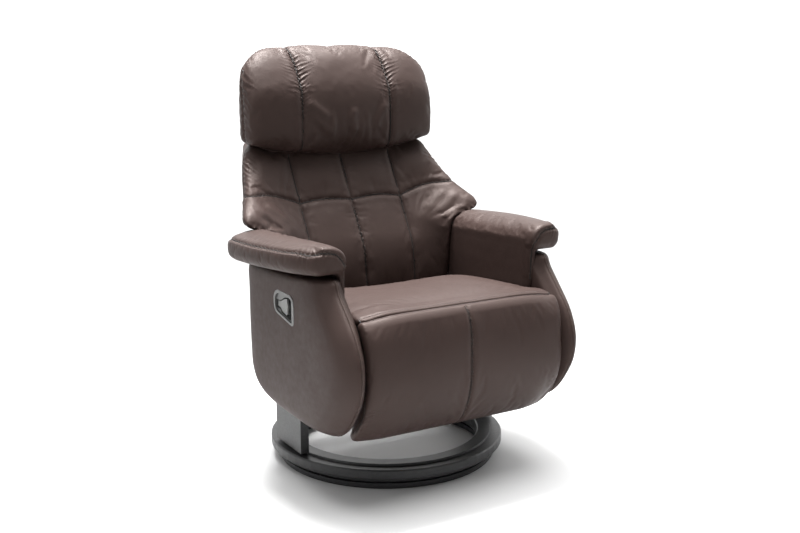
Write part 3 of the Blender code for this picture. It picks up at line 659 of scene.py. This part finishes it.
def make_headrest():
    places = across(0.2705, 0.261, 0.243, 0.215, 0.18, HEADREST_SEAM_X, 0.07, 0.0)
    obj = skin("headrest", [headrest_ring(x) for x in places])
    remesh(obj, 0.005)
    relax(obj, 4)
    front_seams, edge_seams = {}, {}
    for side, sign in SIDES:
        ring = headrest_ring(HEADREST_SEAM_X * sign)
        over = [ring[k] for k in (12, 11, 10, 9, 8, 7, 6, 5, 4, 3, 2, 1, 0, 17)]
        front_seams[side] = laid(obj, over)
        edge_seams[side] = laid(obj, mirrored(HEADREST_EDGE, sign))
    lines = [*front_seams.values(), *edge_seams.values()]
    inflate(obj, near_lines(obj, lines, 0.0045), 4.0, 0.015, 0.01)
    subdivide(obj)
    for side, sign in SIDES:
        line = laid_again(obj, front_seams[side])
        groove(obj, line, 0.004, 0.0036, 0.002, 0.014)
        for k, part in enumerate(((0.34, 0.66), (0.4, 0.78))):
            gathers(obj, line, 0.062 - 0.018 * k, 0.0014, 0.013 - 0.004 * k, 0.45, part, 3 + k)
        edge = laid_again(obj, edge_seams[side])
        groove(obj, edge, 0.003, 0.004, 0.0015, 0.012)
        gathers(obj, edge, 0.062, 0.0019, 0.017, -0.75 * sign, (0.05, 0.92), 20)
        gathers(obj, edge, 0.03, 0.0013, 0.009, -0.55 * sign, (0.02, 0.5), 24)
    for number, x in enumerate((-0.094, -0.062, -0.03, 0.004, 0.036, 0.07, 0.1)):
        lean = 0.02 * math.sin(2.3 * number)
        top = 0.785 + (0.05 + 0.035 * ((number * 7) % 3) / 2)
        fold(obj, [(x, 0.215, 0.764), (x + lean / 2, 0.198, 0.785), (x + lean, 0.196, top)], 0.0022, 0.008)
    for points in (
        [(-0.118, 0.198, 0.895), (-0.085, 0.192, 0.87), (-0.05, 0.19, 0.845)],
        [(-0.116, 0.198, 0.872), (-0.08, 0.192, 0.838), (-0.04, 0.19, 0.8)],
        [(0.02, 0.19, 0.88), (0.012, 0.19, 0.84), (0.026, 0.192, 0.8)],
        [(0.118, 0.198, 0.885), (0.095, 0.192, 0.85), (0.08, 0.19, 0.805)],
    ):
        fold(obj, points, 0.0034, 0.011)
    co = coords(obj)
    soft = 0.0006 * smooth_noise(co * np.array([22.0, 14.0, 9.0]), 33)
    push(obj, soft + 0.0003 * smooth_noise(co * 60.0, 34))
    finish_piece(obj, "headrest", LEATHER, "leather", "headrest_cushion")
    for side, _ in SIDES:
        seam_line(f"headrest_seam_{side}", obj, front_seams[side], "headrest")
        seam_line(f"headrest_edge_seam_{side}", obj, edge_seams[side], "headrest")


def rear_y(z):
    return 0.2386 + 0.357 * (z - 0.37)


def back_ring(z, front, half, wing, rear_half):
    """One level of the backrest cushion, from the middle of its front round to the middle of its rear."""
    rear = rear_y(z) - 0.005
    side = [(0.05, front - 0.002), (0.1, front - 0.001), (0.15, front)]
    for t in (0.35, 0.7, 0.92):
        x = 0.15 + t * (half - 0.15)
        side.append((x, front + (wing - front) * t**1.6))
    side += [(half, wing + 0.012), (half - 0.001, wing + 0.04)]
    side.append((0.5 * (half + rear_half), 0.45 * wing + 0.55 * rear))
    side += [(rear_half, rear - 0.016), (rear_half - 0.016, rear), (0.12, rear)]
    loop = [(0.0, front - 0.002), *side, (0.0, rear), *[(-x, y) for x, y in reversed(side)]]
    return [(x, y, z) for x, y in loop]


BACK_LEVELS = (
    (0.378, 0.1, 0.24, 0.104, 0.234),
    (0.41, 0.098, 0.25, 0.09, 0.236),
    (0.447, 0.102, 0.2545, 0.086, 0.236),
    (0.512, 0.113, 0.255, 0.08, 0.236),
    (0.558, 0.137, 0.255, 0.072, 0.237),
    (0.58, 0.149, 0.268, 0.07, 0.237),
    (0.594, 0.158, 0.318, 0.066, 0.238),
    (0.608, 0.166, 0.34, 0.072, 0.239),
    (0.625, 0.176, 0.336, 0.084, 0.24),
    (0.645, 0.187, 0.32, 0.112, 0.242),
    (0.668, 0.199, 0.303, 0.146, 0.244),
    (0.71, 0.223, 0.287, 0.19, 0.236),
    (0.745, 0.243, 0.273, 0.22, 0.233),
    (0.772, 0.256, 0.259, 0.238, 0.228),
    (0.782, 0.27, 0.242, 0.256, 0.22),
)


def back_front(z):
    return interpolated(z, [(level[0], level[1]) for level in BACK_LEVELS])[0]


BACK_SEAM_HEIGHTS = (0.4, 0.45, 0.5, 0.56, 0.62, 0.68, 0.72, 0.755)
BACK_SIDE_SEAMS = {
    "cross": ((0.0, 0.18, 0.634), (0.05, 0.182, 0.64), (0.1, 0.183, 0.641), (0.15, 0.18, 0.634)),
    "wing": (
        (0.15, 0.18, 0.634), (0.195, 0.175, 0.655), (0.24, 0.165, 0.668), (0.285, 0.148, 0.672),
        (0.312, 0.165, 0.667), (0.296, 0.205, 0.66),
    ),
    "edge": (
        (0.27, 0.272, 0.765), (0.283, 0.25, 0.735), (0.296, 0.222, 0.7), (0.314, 0.18, 0.662),
        (0.334, 0.135, 0.632), (0.343, 0.105, 0.606),
    ),
}  # fmt: skip
WING_FOLDS = (
    (((0.268, 0.13, 0.66), (0.24, 0.128, 0.628), (0.2, 0.14, 0.588)), 0.0028),
    (((0.3, 0.118, 0.65), (0.272, 0.115, 0.62), (0.228, 0.128, 0.582)), 0.0023),
    (((0.322, 0.095, 0.628), (0.3, 0.093, 0.61), (0.272, 0.105, 0.594)), 0.0015),
)


def make_backrest():
    obj = skin("backrest", [back_ring(*level) for level in BACK_LEVELS], 3, 4, False)
    remesh(obj, 0.0055)
    relax(obj, 4)
    seams = {}
    for name, x in (("middle", 0.0), ("left", -0.15), ("right", 0.15)):
        seams[name] = laid(obj, [(x, back_front(z), z) for z in BACK_SEAM_HEIGHTS])
    for side, sign in SIDES:
        for name, points in BACK_SIDE_SEAMS.items():
            seams[f"{name}_{side}"] = laid(obj, mirrored(points, sign))
    co = coords(obj)
    held = near_lines(obj, seams.values(), 0.005)
    held |= (co[:, 1] > rear_y(co[:, 2]) - 0.012) | (co[:, 2] < 0.392)
    held |= (np.abs(co[:, 0]) > 0.247) & (co[:, 2] < 0.575)
    inflate(obj, held, 4.0, 0.016, 0.008)
    subdivide(obj)
    for name in ("middle", "left", "right"):
        groove(obj, laid_again(obj, seams[name]), 0.0042, 0.0036, 0.0018, 0.014)
    for side, sign in SIDES:
        for name in ("cross", "wing"):
            groove(obj, laid_again(obj, seams[f"{name}_{side}"]), 0.0032, 0.0034, 0.0014, 0.012)
        edge = laid_again(obj, seams[f"edge_{side}"])
        groove(obj, edge, 0.003, 0.004, 0.0015, 0.012)
        gathers(obj, edge, 0.06, 0.0017, 0.017, 0.9 * sign, (0.02, 0.66), 31)
        gathers(obj, edge, 0.034, 0.001, 0.01, 0.6 * sign, (0.02, 0.6), 35)
        gathers(obj, edge, 0.03, 0.0009, 0.011, 0.2 * sign, (0.62, 0.98), 37)
        for points, height in WING_FOLDS:
            fold(obj, mirrored(points, sign), height, 0.013)
    middle = laid_again(obj, seams["middle"])
    gathers(obj, middle, 0.03, 0.001, 0.022, 0.9, (0.3, 0.66), 41)
    co = coords(obj)
    soft = 0.001 * smooth_noise(co * np.array([9.0, 9.0, 17.0]), 43)
    push(obj, soft * smooth_step(rear_y(co[:, 2]) - co[:, 1], 0.02, 0.05))
    finish_piece(obj, "backrest", LEATHER, "leather", "back_cushion")
    for name, line in seams.items():
        seam_line(f"back_seam_{name}", obj, line, "backrest")


SEAT_NOSE = 12


def seat_ring(x):
    """The seat's section at x: a flat top that ends in a flap over the footrest's hinge."""
    corner = smooth_step(abs(x), 0.17, 0.262)
    loop = [
        (0.076, 0.366), (0.081, 0.388), (0.078, 0.408), (0.05, 0.424), (0.0, 0.44), (-0.06, 0.449),
        (-0.13, 0.455), (-0.2, 0.459), (-0.26, 0.462), (-0.3, 0.464), (-0.328, 0.4635),
        (-0.3415, 0.4605), (-0.345, 0.456), (-0.34, 0.451), (-0.318, 0.442), (-0.303, 0.428),
        (-0.295, 0.4), (-0.29, 0.372), (-0.278, 0.361), (-0.15, 0.359), (0.0, 0.359),
    ]  # fmt: skip
    loop = [(y + 0.005 * corner * (y < -0.29), z - 0.009 * corner * (z > 0.4)) for y, z in loop]
    return [(x, y, z) for y, z in loop]


def widen_nose(obj):
    """The seat widens in front of the arms, to cover the hinge plates."""
    co = coords(obj)
    wide = 1 + 0.062 * (1 - smooth_step(co[:, 1], -0.3, -0.266)) * smooth_step(co[:, 2], 0.38, 0.41)
    co[:, 0] *= wide
    set_coords(obj, co)


def make_seat():
    rings = []
    for x in across(0.2495, 0.244, 0.225, 0.18, 0.1, 0.0):
        inset = 0.006 if abs(x) > 0.249 else 0.0
        ring = np.array(seat_ring(x))
        middle = ring.mean(axis=0)
        ring[:, 1:] += (middle - ring)[:, 1:] * inset / 0.06
        rings.append([tuple(p) for p in ring])
    obj = skin("seat", rings, 4, 3, False)
    remesh(obj, 0.0055)
    relax(obj, 3)
    widen_nose(obj)
    co = coords(obj)
    held = (co[:, 2] < 0.425) | (co[:, 1] < -0.296) | (np.abs(co[:, 0]) > 0.24)
    inflate(obj, held, 3.0, 0.01, 0.004)
    subdivide(obj)
    front = [seat_ring(x)[SEAT_NOSE] for x in np.linspace(-0.26, 0.26, 21)]
    co = coords(obj)
    soft = 0.0016 * smooth_noise(co * 9.0, 5) + 0.0006 * smooth_noise(co * 28.0, 6)
    push(obj, soft * smooth_step(co[:, 2], 0.42, 0.44) * (1 - smooth_step(np.abs(co[:, 0]), 0.2, 0.245)))
    stitch = laid(obj, [(x, y + 0.01, z + 0.01) for x, y, z in front])
    blend = ("legrest", (0, -0.3, 0.44), (0, -0.344, 0.44))
    groove(obj, stitch, 0.0013, 0.0026, 0.0006, 0.007)
    finish_piece(obj, "chair", LEATHER, "leather", "seat_cushion", blend=blend)
    thread = stitches("seat_front_stitches", laid_again(obj, stitch), obj)
    finish_piece(thread, "chair", THREAD, "leather", blend=blend)


def legrest_ring(x):
    """The footrest's section at x. Its top edge drops a little towards the sides."""
    loop = np.array([
        (-0.327, 0.446), (-0.346, 0.4585), (-0.36, 0.455), (-0.374, 0.437), (-0.384, 0.402),
        (-0.388, 0.345), (-0.388, 0.3), (-0.381, 0.255), (-0.366, 0.215), (-0.345, 0.183), (-0.318, 0.163),
        (-0.294, 0.158), (-0.274, 0.17), (-0.276, 0.205), (-0.3, 0.234), (-0.3285, 0.252),
        (-0.3285, 0.31), (-0.3285, 0.38), (-0.3285, 0.43),
    ])  # fmt: skip
    corner = smooth_step(abs(x), 0.17, 0.262) * smooth_step(loop[:, 1], 0.38, 0.45)
    loop[:, 1] -= 0.009 * corner
    loop[:, 0] += 0.005 * corner
    lower = smooth_step(abs(x), 0.19, 0.262) * (1 - smooth_step(loop[:, 1], 0.2, 0.275))
    loop[:, 0] += 0.02 * lower * smooth_step(-loop[:, 0], 0.285, 0.335)
    return [(x, float(y), float(z)) for y, z in loop]


LEGREST_RIM = 1
# At these half widths, how far the section is drawn in, and how far forward its rear stays.
LEGREST_WINGS = {
    0.2675: (0.66, -0.364),
    0.266: (0.46, -0.358),
    0.2622: (0.26, -0.347),
    0.256: (0.12, -0.3),
    0.243: (0.03, 0.0),
    0.2: (0.0, 0.0),
    0.13: (0.0, 0.0),
}
LEGREST_SEAM = (
    (0, -0.352, 0.448), (0, -0.381, 0.41), (0, -0.387, 0.35), (0, -0.386, 0.3), (0, -0.366, 0.222),
    (0, -0.322, 0.167),
)  # fmt: skip
LEGREST_EDGE = (
    (0.261, -0.335, 0.42), (0.262, -0.352, 0.39), (0.262, -0.36, 0.34), (0.262, -0.358, 0.285),
    (0.262, -0.335, 0.215), (0.262, -0.305, 0.185),
)  # fmt: skip


def make_legrest():
    """The footrest's cushion, which curls round its sides in front of the side panels."""
    rings = []
    for x in across(*LEGREST_WINGS, 0.0):
        pull, rear = LEGREST_WINGS.get(abs(x), (0.0, 0.0))
        ring = np.array(legrest_ring(x))
        middle = np.tile([x, -0.315, 0.31], (len(ring), 1))
        middle[:, 1] -= 0.045 * smooth_step(ring[:, 2], 0.17, 0.28)
        lower = 1 - smooth_step(ring[:, 2], 0.405, 0.45)
        ring += (middle - ring) * pull * np.stack([0 * lower, 0.9 * lower, 0.12 * lower], axis=1)
        upper = smooth_step(ring[:, 2], 0.17, 0.24) * (1 - smooth_step(ring[:, 2], 0.405, 0.43))
        ring[:, 1] += (np.minimum(ring[:, 1], rear) - ring[:, 1]) * upper
        rings.append([tuple(p) for p in ring])
    obj = skin("footrest", rings, 4, 3, False)
    remesh(obj, 0.0055)
    relax(obj, 3)
    middle = laid(obj, LEGREST_SEAM)
    edges = {side: laid(obj, mirrored(LEGREST_EDGE, sign)) for side, sign in SIDES}
    co = coords(obj)
    held = near_lines(obj, [middle, *edges.values()], 0.005) | (co[:, 1] > -0.3295) | (co[:, 2] > 0.44)
    inflate(obj, held, 4.0, 0.012, 0.006)
    subdivide(obj)
    co = coords(obj)
    push(obj, 0.0014 * smooth_noise(co * 8.0, 12) * smooth_step(-co[:, 1], 0.335, 0.36))
    groove(obj, laid_again(obj, middle), 0.0035, 0.0038, 0.0012, 0.012)
    for side, sign in SIDES:
        groove(obj, laid_again(obj, edges[side]), 0.0025, 0.0036, 0.001, 0.011)
        front = laid_again(obj, [(0.259 * sign, -0.386, z) for z in np.linspace(0.255, 0.215, 9)])
        gathers(obj, front, 0.034, 0.0016, 0.011, 0.5 * sign, (0.0, 1.0), 51)
    finish_piece(obj, "legrest", LEATHER, "leather", "legrest_cushion")
    make_legrest_cover()
    seam_line("footrest_seam_middle", obj, middle, "legrest")
    for side, line in edges.items():
        seam_line(f"footrest_seam_{side}", obj, line, "legrest")
    rim = [legrest_ring(x)[LEGREST_RIM] for x in np.linspace(-0.252, 0.252, 21)]
    top = laid(obj, [(x, y - 0.006, z) for x, y, z in rim])
    finish_piece(stitches("footrest_top_stitches", top, obj), "legrest", THREAD, "leather")


def make_legrest_cover():
    """The fabric on the footrest's rear board."""
    low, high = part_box("legrest_board")
    middle, half = 0.5 * (low[2] + high[2]), 0.5 * (high[2] - low[2])
    rings = []
    levels = (low[1] + 0.002, 0.0), (high[1] - 0.002, 0.0), (high[1], 0.0015), (high[1] + 0.0005, 0.012)
    for y, inset in levels:
        wide, tall = high[0] - inset, half - inset
        rings.append([(a * wide, y, middle + b * tall) for a, b in rounded_square(8)])
    cover = skin("footrest_rear_cover", rings, 2, 2)
    push(cover, 0.0004 * smooth_noise(coords(cover) * 16.0, 55))
    finish_piece(cover, "legrest", LINING, "lining", "legrest_board")


def arm_drop(y):
    return 0.05 * (y + 0.27)


def arm_outer(y):
    return interpolated(
        y,
        (
            (-0.33, 0.33), (-0.276, 0.336), (-0.25, 0.352), (-0.2, 0.37), (-0.15, 0.38),
            (-0.05, 0.39), (0.05, 0.391), (0.1, 0.386), (0.125, 0.374), (0.16, 0.33),
        ),
    )[0]  # fmt: skip


def arm_ring(y, sign, round_off):
    """The bolster's section at y, as (x, z) points, drawn in towards its middle at the two ends."""
    outer = arm_outer(y)
    loop = np.array([
        (0.256, 0.556), (0.2565, 0.572), (0.261, 0.59), (0.274, 0.602), (0.295, 0.608),
        (0.325, 0.609), (outer - 0.034, 0.604), (outer - 0.014, 0.598), (outer - 0.003, 0.589),
        (outer, 0.578), (outer, 0.562), (outer - 0.005, 0.55), (outer - 0.018, 0.544), (0.33, 0.542),
        (0.295, 0.542), (0.264, 0.544),
    ])  # fmt: skip
    middle = np.array([0.5 * (0.256 + outer), 0.576])
    loop += (middle - loop) * np.array([round_off * 0.55, round_off])
    return [(x * sign, y, z - arm_drop(y)) for x, z in loop]


ARM_ENDS = (
    (-0.274, 0.45), (-0.27, 0.18), (-0.26, 0.04), (-0.235, 0.0), (-0.2, 0.0), (-0.14, 0.0),
    (-0.07, 0.0), (0.0, 0.0), (0.06, 0.0), (0.1, 0.02), (0.122, 0.12), (0.131, 0.4),
)  # fmt: skip
ARM_SLAB = (
    (-0.264, 0.47, 0.56), (-0.262, 0.455, 0.57), (-0.235, 0.408, 0.575), (0.05, 0.39, 0.575),
    (0.134, 0.385, 0.575),
)  # fmt: skip
ARM_DOWN = (
    (0.262, -0.268, 0.56), (0.2545, -0.2655, 0.535), (0.2545, -0.2635, 0.5), (0.255, -0.262, 0.47),
)  # fmt: skip


def arm_slab_ring(y, low, high, sign):
    """The inner face's section at y, a slab between two heights."""
    near, far = 0.2545 + 0.004 * smooth_step(y, -0.24, -0.264), 0.272
    loop = [(near, low), (near - 0.0005, 0.49), (near, 0.53), (near + 0.001, high)]
    loop += [(far, z) for z in (high, 0.53, 0.49, low)]
    return [(x * sign, y, z - arm_drop(y) * (z > 0.5)) for x, z in loop]


def make_arm(side, sign):
    bolster = skin("bolster", [arm_ring(y, sign, r) for y, r in ARM_ENDS])
    inner = loft("inner", [arm_slab_ring(*level, sign) for level in ARM_SLAB], pointed=False)
    obj = join(f"arm_{side}", [bolster, inner])
    remesh(obj, 0.0045)
    relax(obj, 6)
    top = [(0.262, -0.268, 0.56), (0.285, -0.2735, 0.588), (0.32, -0.2715, 0.595), (0.345, -0.258, 0.595)]
    top += [(arm_outer(y) - 0.006, y, 0.596) for y in (-0.23, -0.18, -0.12, -0.05, 0.02, 0.08, 0.11)]
    top += [(0.355, 0.13, 0.59), (0.3, 0.134, 0.585)]
    line = laid(obj, [(x * sign, y, z - arm_drop(y)) for x, y, z in top])
    down = laid(obj, mirrored(ARM_DOWN, sign))
    co = coords(obj)
    held = near_lines(obj, [line, down], 0.0045)
    held |= (co[:, 2] < 0.546 - arm_drop(co[:, 1])) | (np.abs(co[:, 0]) < 0.256)
    inflate(obj, held, 4.0, 0.009, 0.008)
    subdivide(obj)
    co = coords(obj)
    push(obj, 0.0008 * smooth_noise(co * 9.0, 15 + sign))
    line = laid_again(obj, line)
    groove(obj, line, 0.003, 0.0036, 0.0012, 0.01)
    groove(obj, laid_again(obj, down), 0.0022, 0.0034, 0.0008, 0.01)
    gathers(obj, line, 0.036, 0.0016, 0.012, 0.35 * sign, (0.1, 0.27), 61 + sign)
    finish_piece(obj, "chair", LEATHER, "leather", f"arm_pad_{side}", f"inner_arm_{side}")
    seam_line(f"arm_seam_{side}", obj, line, "chair")
    seam_line(f"arm_front_seam_{side}", obj, down, "chair")
    low = laid(obj, [(x * sign + 0.004 * sign, y, z - 0.0075 - arm_drop(y)) for x, y, z in top[3:-2]])
    finish_piece(stitches(f"arm_stitches_{side}", low, obj), "chair", THREAD, "leather")


def panel_outline():
    """The side panel's outline as (y, z), clockwise from its rear top."""
    points = [
        (0.12, 0.533), (0.12, 0.45), (0.1195, 0.37), (0.1165, 0.3), (0.102, 0.245), (0.072, 0.205),
        (0.03, 0.184), (-0.03, 0.175), (-0.1, 0.172), (-0.18, 0.171), (-0.24, 0.172), (-0.278, 0.187),
        (-0.308, 0.213), (-0.336, 0.252), (-0.356, 0.292), (-0.363, 0.336), (-0.357, 0.375), (-0.335, 0.42),
        (-0.3, 0.462), (-0.262, 0.505), (-0.242, 0.533), (-0.15, 0.533), (-0.05, 0.533), (0.04, 0.533),
    ]  # fmt: skip
    return [(y, z - arm_drop(y) * (z > 0.5)) for y, z in points]


def panel_ring(x, wide, high, rear):
    """The panel's outline at x, scaled forwards from its rear edge and up and down from its middle."""
    ring = []
    for y, z in panel_outline():
        y_at = min(0.119 + (y - 0.119) * wide, rear)
        ring.append((x, y_at, min(0.42 + (z - 0.42) * high, 0.5335 - arm_drop(y_at))))
    return ring


PANEL_RIDGE = 0.2895
PANEL_SECTIONS = (
    (0.265, 0.6, 0.62, 0.06),
    (0.2632, 0.93, 0.95, 0.108),
    (0.264, 0.995, 0.992, 0.117),
    (0.274, 1.032, 0.999, 0.12),
    (0.284, 1.066, 1.002, 0.12),
    (PANEL_RIDGE, 1.074, 1.003, 0.12),
    (0.296, 1.068, 1.0, 0.12),
    (0.306, 1.046, 0.992, 0.12),
    (0.317, 1.008, 0.978, 0.118),
    (0.326, 0.962, 0.958, 0.112),
    (0.331, 0.905, 0.925, 0.1),
    (0.3345, 0.8, 0.85, 0.075),
    (0.336, 0.62, 0.68, 0.03),
)


def make_panel(side, sign):
    """A pad of two leather faces, sewn along a forward ridge, over the chair's upright and rail."""
    rings = [panel_ring(x * sign, *scale) for x, *scale in PANEL_SECTIONS]
    obj = skin(f"panel_{side}", rings, 3, 3)
    remesh(obj, 0.005)
    relax(obj, 3)
    subdivide(obj)
    ridge = laid(obj, panel_ring(PANEL_RIDGE * sign, 1.08, 1.008, 0.13)[2:21])
    groove(obj, ridge, 0.0012, 0.0034, 0.0006, 0.009)
    co = coords(obj)
    push(obj, 0.0012 * smooth_noise(co * 5.0, 71 + sign) * smooth_step(np.abs(co[:, 0]), 0.3, 0.33))
    push(obj, 0.0005 * smooth_noise(coords(obj) * 18.0, 77 + sign))
    near, far = sorted((0.2 * sign, 0.2846 * sign))
    cut_away(obj, box("pocket", (near, -0.0736, 0.1), (far, 0.0656, 0.376)))
    if side == "left":
        cut_away(obj, prism("hole", shield_outline(0.0005), -0.36, -0.307))
    finish_piece(obj, "chair", LEATHER, "leather", f"side_panel_{side}")
    piping = tube(f"panel_piping_{side}", laid_again(obj, ridge), 0.0017, 8, 0.0006, obj)
    # The piping is painted lighter than the leather: a painted highlight along the panel's ridge.
    finish_piece(piping, "chair", HIGHLIGHT_LEATHER, "leather")


def shield_outline(grow):
    """The handle bezel's outline as (y, z)."""
    corners = (
        (-0.049, 0.478, 0.026), (-0.049, 0.424, 0.024), (-0.157, 0.404, 0.012), (-0.157, 0.477, 0.024),
    )  # fmt: skip
    points = []
    for i, (a, b, radius) in enumerate(corners):
        at = Vector((a, b))
        to_last = (Vector(corners[i - 1][:2]) - at).normalized()
        to_next = (Vector(corners[(i + 1) % 4][:2]) - at).normalized()
        half = to_last.angle(to_next) / 2
        centre = at + (to_last + to_next).normalized() * (radius / math.sin(half))
        first = at + to_last * (radius / math.tan(half)) - centre
        sweep = -first.angle_signed(at + to_next * (radius / math.tan(half)) - centre)
        for k in range(7):
            points.append(centre + Matrix.Rotation(sweep * k / 6, 2) @ first)
    middle = Vector((-0.107, 0.445))
    return [middle + (p - middle) * (1 + grow / (p - middle).length) for p in points]


def prism(name, outline, low, high):
    return loft(name, [[(x, *p) for p in outline] for x in (low, high)], pointed=False)


def make_dish():
    """The bezel's raised face, with a clearance round the paddle, and the dark recess behind it."""
    dish = prism("handle_dish", shield_outline(-0.0072), -0.3325, -0.3275)
    clearance = [
        (-0.053, 0.453), (-0.053, 0.433), (-0.0775, 0.432), (-0.085, 0.425), (-0.108, 0.42),
        (-0.13, 0.4155), (-0.1365, 0.419), (-0.1365, 0.467), (-0.13, 0.47), (-0.1, 0.464),
        (-0.08, 0.454),
    ]  # fmt: skip
    cut_away(dish, prism("paddle_clearance", clearance, -0.35, -0.3))
    finish_piece(dish, "chair", BEZEL, "grey_plastic")
    dish.data.shade_flat()
    recess = prism("handle_recess", shield_outline(-0.008), -0.3125, -0.3105)
    finish_piece(recess, "chair", POLYMER, "plastic")


def make_neck():
    """The leather sleeve between the backrest and the tilting headrest."""
    rings = []
    for z, half, front, rear in (
        (0.735, 0.218, 0.262, 0.345), (0.752, 0.224, 0.254, 0.35), (0.77, 0.226, 0.25, 0.35),
        (0.79, 0.224, 0.254, 0.342), (0.812, 0.21, 0.264, 0.334),
    ):  # fmt: skip
        ring = []
        for a, b in rounded_square(6, 0.22):
            ring.append((a * half, 0.5 * (front + rear) + 0.5 * b * (rear - front), z))
        rings.append(ring)
    obj = skin("neck_sleeve", rings, 2, 4)
    push(obj, 0.002 * smooth_noise(coords(obj) * np.array([30.0, 30.0, 60.0]), 83))
    blend = ("headrest", (0, 0.31, 0.748), (0, 0.31, 0.8))
    finish_piece(obj, "backrest", LEATHER, "leather", blend=blend)


def make_rear_cover():
    """The padded leather panel on the back of the backrest."""
    half, low, high = 0.2235, 0.375, 0.728
    rings = []
    edge = ((-0.01, 0.0), (-0.002, 0.0), (0.0015, 0.002), (0.0035, 0.01), (0.006, 0.04), (0.008, 0.1))
    for lift, inset in edge:
        ring = []
        for a, b in rounded_square(10):
            x = a * (half - inset)
            z = 0.5 * (low + high) + b * (0.5 * (high - low) - inset)
            ring.append((x, rear_y(z) + lift * 0.94, z - lift * 0.34))
        rings.append(ring)
    obj = loft("rear_cover", rings)
    subdivide(obj, 3)
    lines = {}
    for side, sign in SIDES:
        heights = (0.385, 0.45, 0.55, 0.65, 0.718)
        lines[side] = laid(obj, [(0.13 * sign, rear_y(z) + 0.006, z) for z in heights])
        groove(obj, lines[side], 0.0022, 0.0034, 0.001, 0.011)
    push(obj, 0.0008 * smooth_noise(coords(obj) * 7.0, 91))
    finish_piece(obj, "backrest", LEATHER, "leather", "back_shell")
    for side, line in lines.items():
        seam_line(f"rear_seam_{side}", obj, line, "backrest")


# ---- camera, light and floor


CAMERA_LENS = 49.3
CAMERA_AT = (-1.378, -2.355, 1.053)
CAMERA_TURN, CAMERA_DOWN = math.radians(31.08), math.radians(11.78)
FLOOR_HALF = 40


def make_camera():
    data = bpy.data.cameras.new("camera")
    data.lens = CAMERA_LENS
    data.sensor_width = 36.0
    camera = link(bpy.data.objects.new("camera", data))
    camera.location = CAMERA_AT
    turn, down = CAMERA_TURN, CAMERA_DOWN
    ahead = Vector((math.sin(turn) * math.cos(down), math.cos(turn) * math.cos(down), -math.sin(down)))
    camera.rotation_euler = ahead.to_track_quat("-Z", "Y").to_euler()
    bpy.context.scene.camera = camera


def area_light(name, at, towards, size, power, spread=math.pi):
    data = bpy.data.lights.new(name, "AREA")
    data.shape = "RECTANGLE"
    data.size = data.size_y = size
    data.energy = power
    data.spread = spread
    lamp = link(bpy.data.objects.new(name, data))
    lamp.location = at
    lamp.rotation_euler = (Vector(towards) - Vector(at)).to_track_quat("-Z", "Y").to_euler()


def make_stage():
    corners = [(a * FLOOR_HALF, b * FLOOR_HALF, 0) for a, b in ((-1, -1), (1, -1), (1, 1), (-1, 1))]
    floor = mesh_object("floor", corners, [(0, 1, 2, 3)])
    made, tree, shader, place = new_material("pale_floor", 0.6)
    cloud = texture(tree, place, "Noise", 2.0, detail=2.0)
    colour = blend_colour(tree, ranged(tree, cloud, 0, 1), (0.52, 0.52, 0.52), (0.54, 0.54, 0.54))
    feed(tree, shader, base_color=colour)
    floor.data.materials.append(made)
    make_world((0.515, 0.857, 0.0), 0.25, 1.9, 1.3)
    bpy.context.scene.view_settings.view_transform = "Standard"
    area_light("key", (-2.7, -0.2, 1.9), (0, 0, 0.45), 1.6, 18)
    area_light("side", (2.4, -0.3, 1.7), (0, 0.1, 0.8), 1.4, 17)
    area_light("top", (0.05, 0.75, 3.5), (0.05, -0.05, 0.5), 1.2, 34, math.radians(45))
    overhead = bpy.data.lights.new("overhead", "SUN")
    overhead.energy = 3.8
    overhead.angle = 0.8
    lamp = link(bpy.data.objects.new("overhead", overhead))
    lamp.rotation_euler = Vector((-0.05, 0.0, -1.0)).to_track_quat("-Z", "Y").to_euler()


def make_world(away, near, far, above):
    """A white studio wall behind the object, darker on the camera's side, and a bright ceiling."""
    world = bpy.data.worlds.new("studio")
    world.use_nodes = True
    tree = world.node_tree
    background = tree.nodes["Background"]
    background.inputs["Color"].default_value = (1.0, 1.0, 1.0, 1.0)
    place = tree.nodes.new("ShaderNodeTexCoord").outputs["Generated"]
    dot = tree.nodes.new("ShaderNodeVectorMath")
    dot.operation = "DOT_PRODUCT"
    tree.links.new(place, dot.inputs[0])
    dot.inputs[1].default_value = away
    axes = tree.nodes.new("ShaderNodeSeparateXYZ")
    tree.links.new(place, axes.inputs[0])
    whole = tree.nodes.new("ShaderNodeMath")
    tree.links.new(ranged(tree, dot.outputs["Value"], near, far, 0.1, 0.95), whole.inputs[0])
    tree.links.new(ranged(tree, axes.outputs["Z"], 0.0, above, 0.66, 0.97), whole.inputs[1])
    tree.links.new(whole.outputs[0], background.inputs["Strength"])
    bpy.context.scene.world = world


make_camera()
make_stage()
dress_nodes()
make_headrest()
make_backrest()
make_neck()
make_dish()
make_rear_cover()
make_seat()
make_legrest()
for side, sign in SIDES:
    make_arm(side, sign)
    make_panel(side, sign)
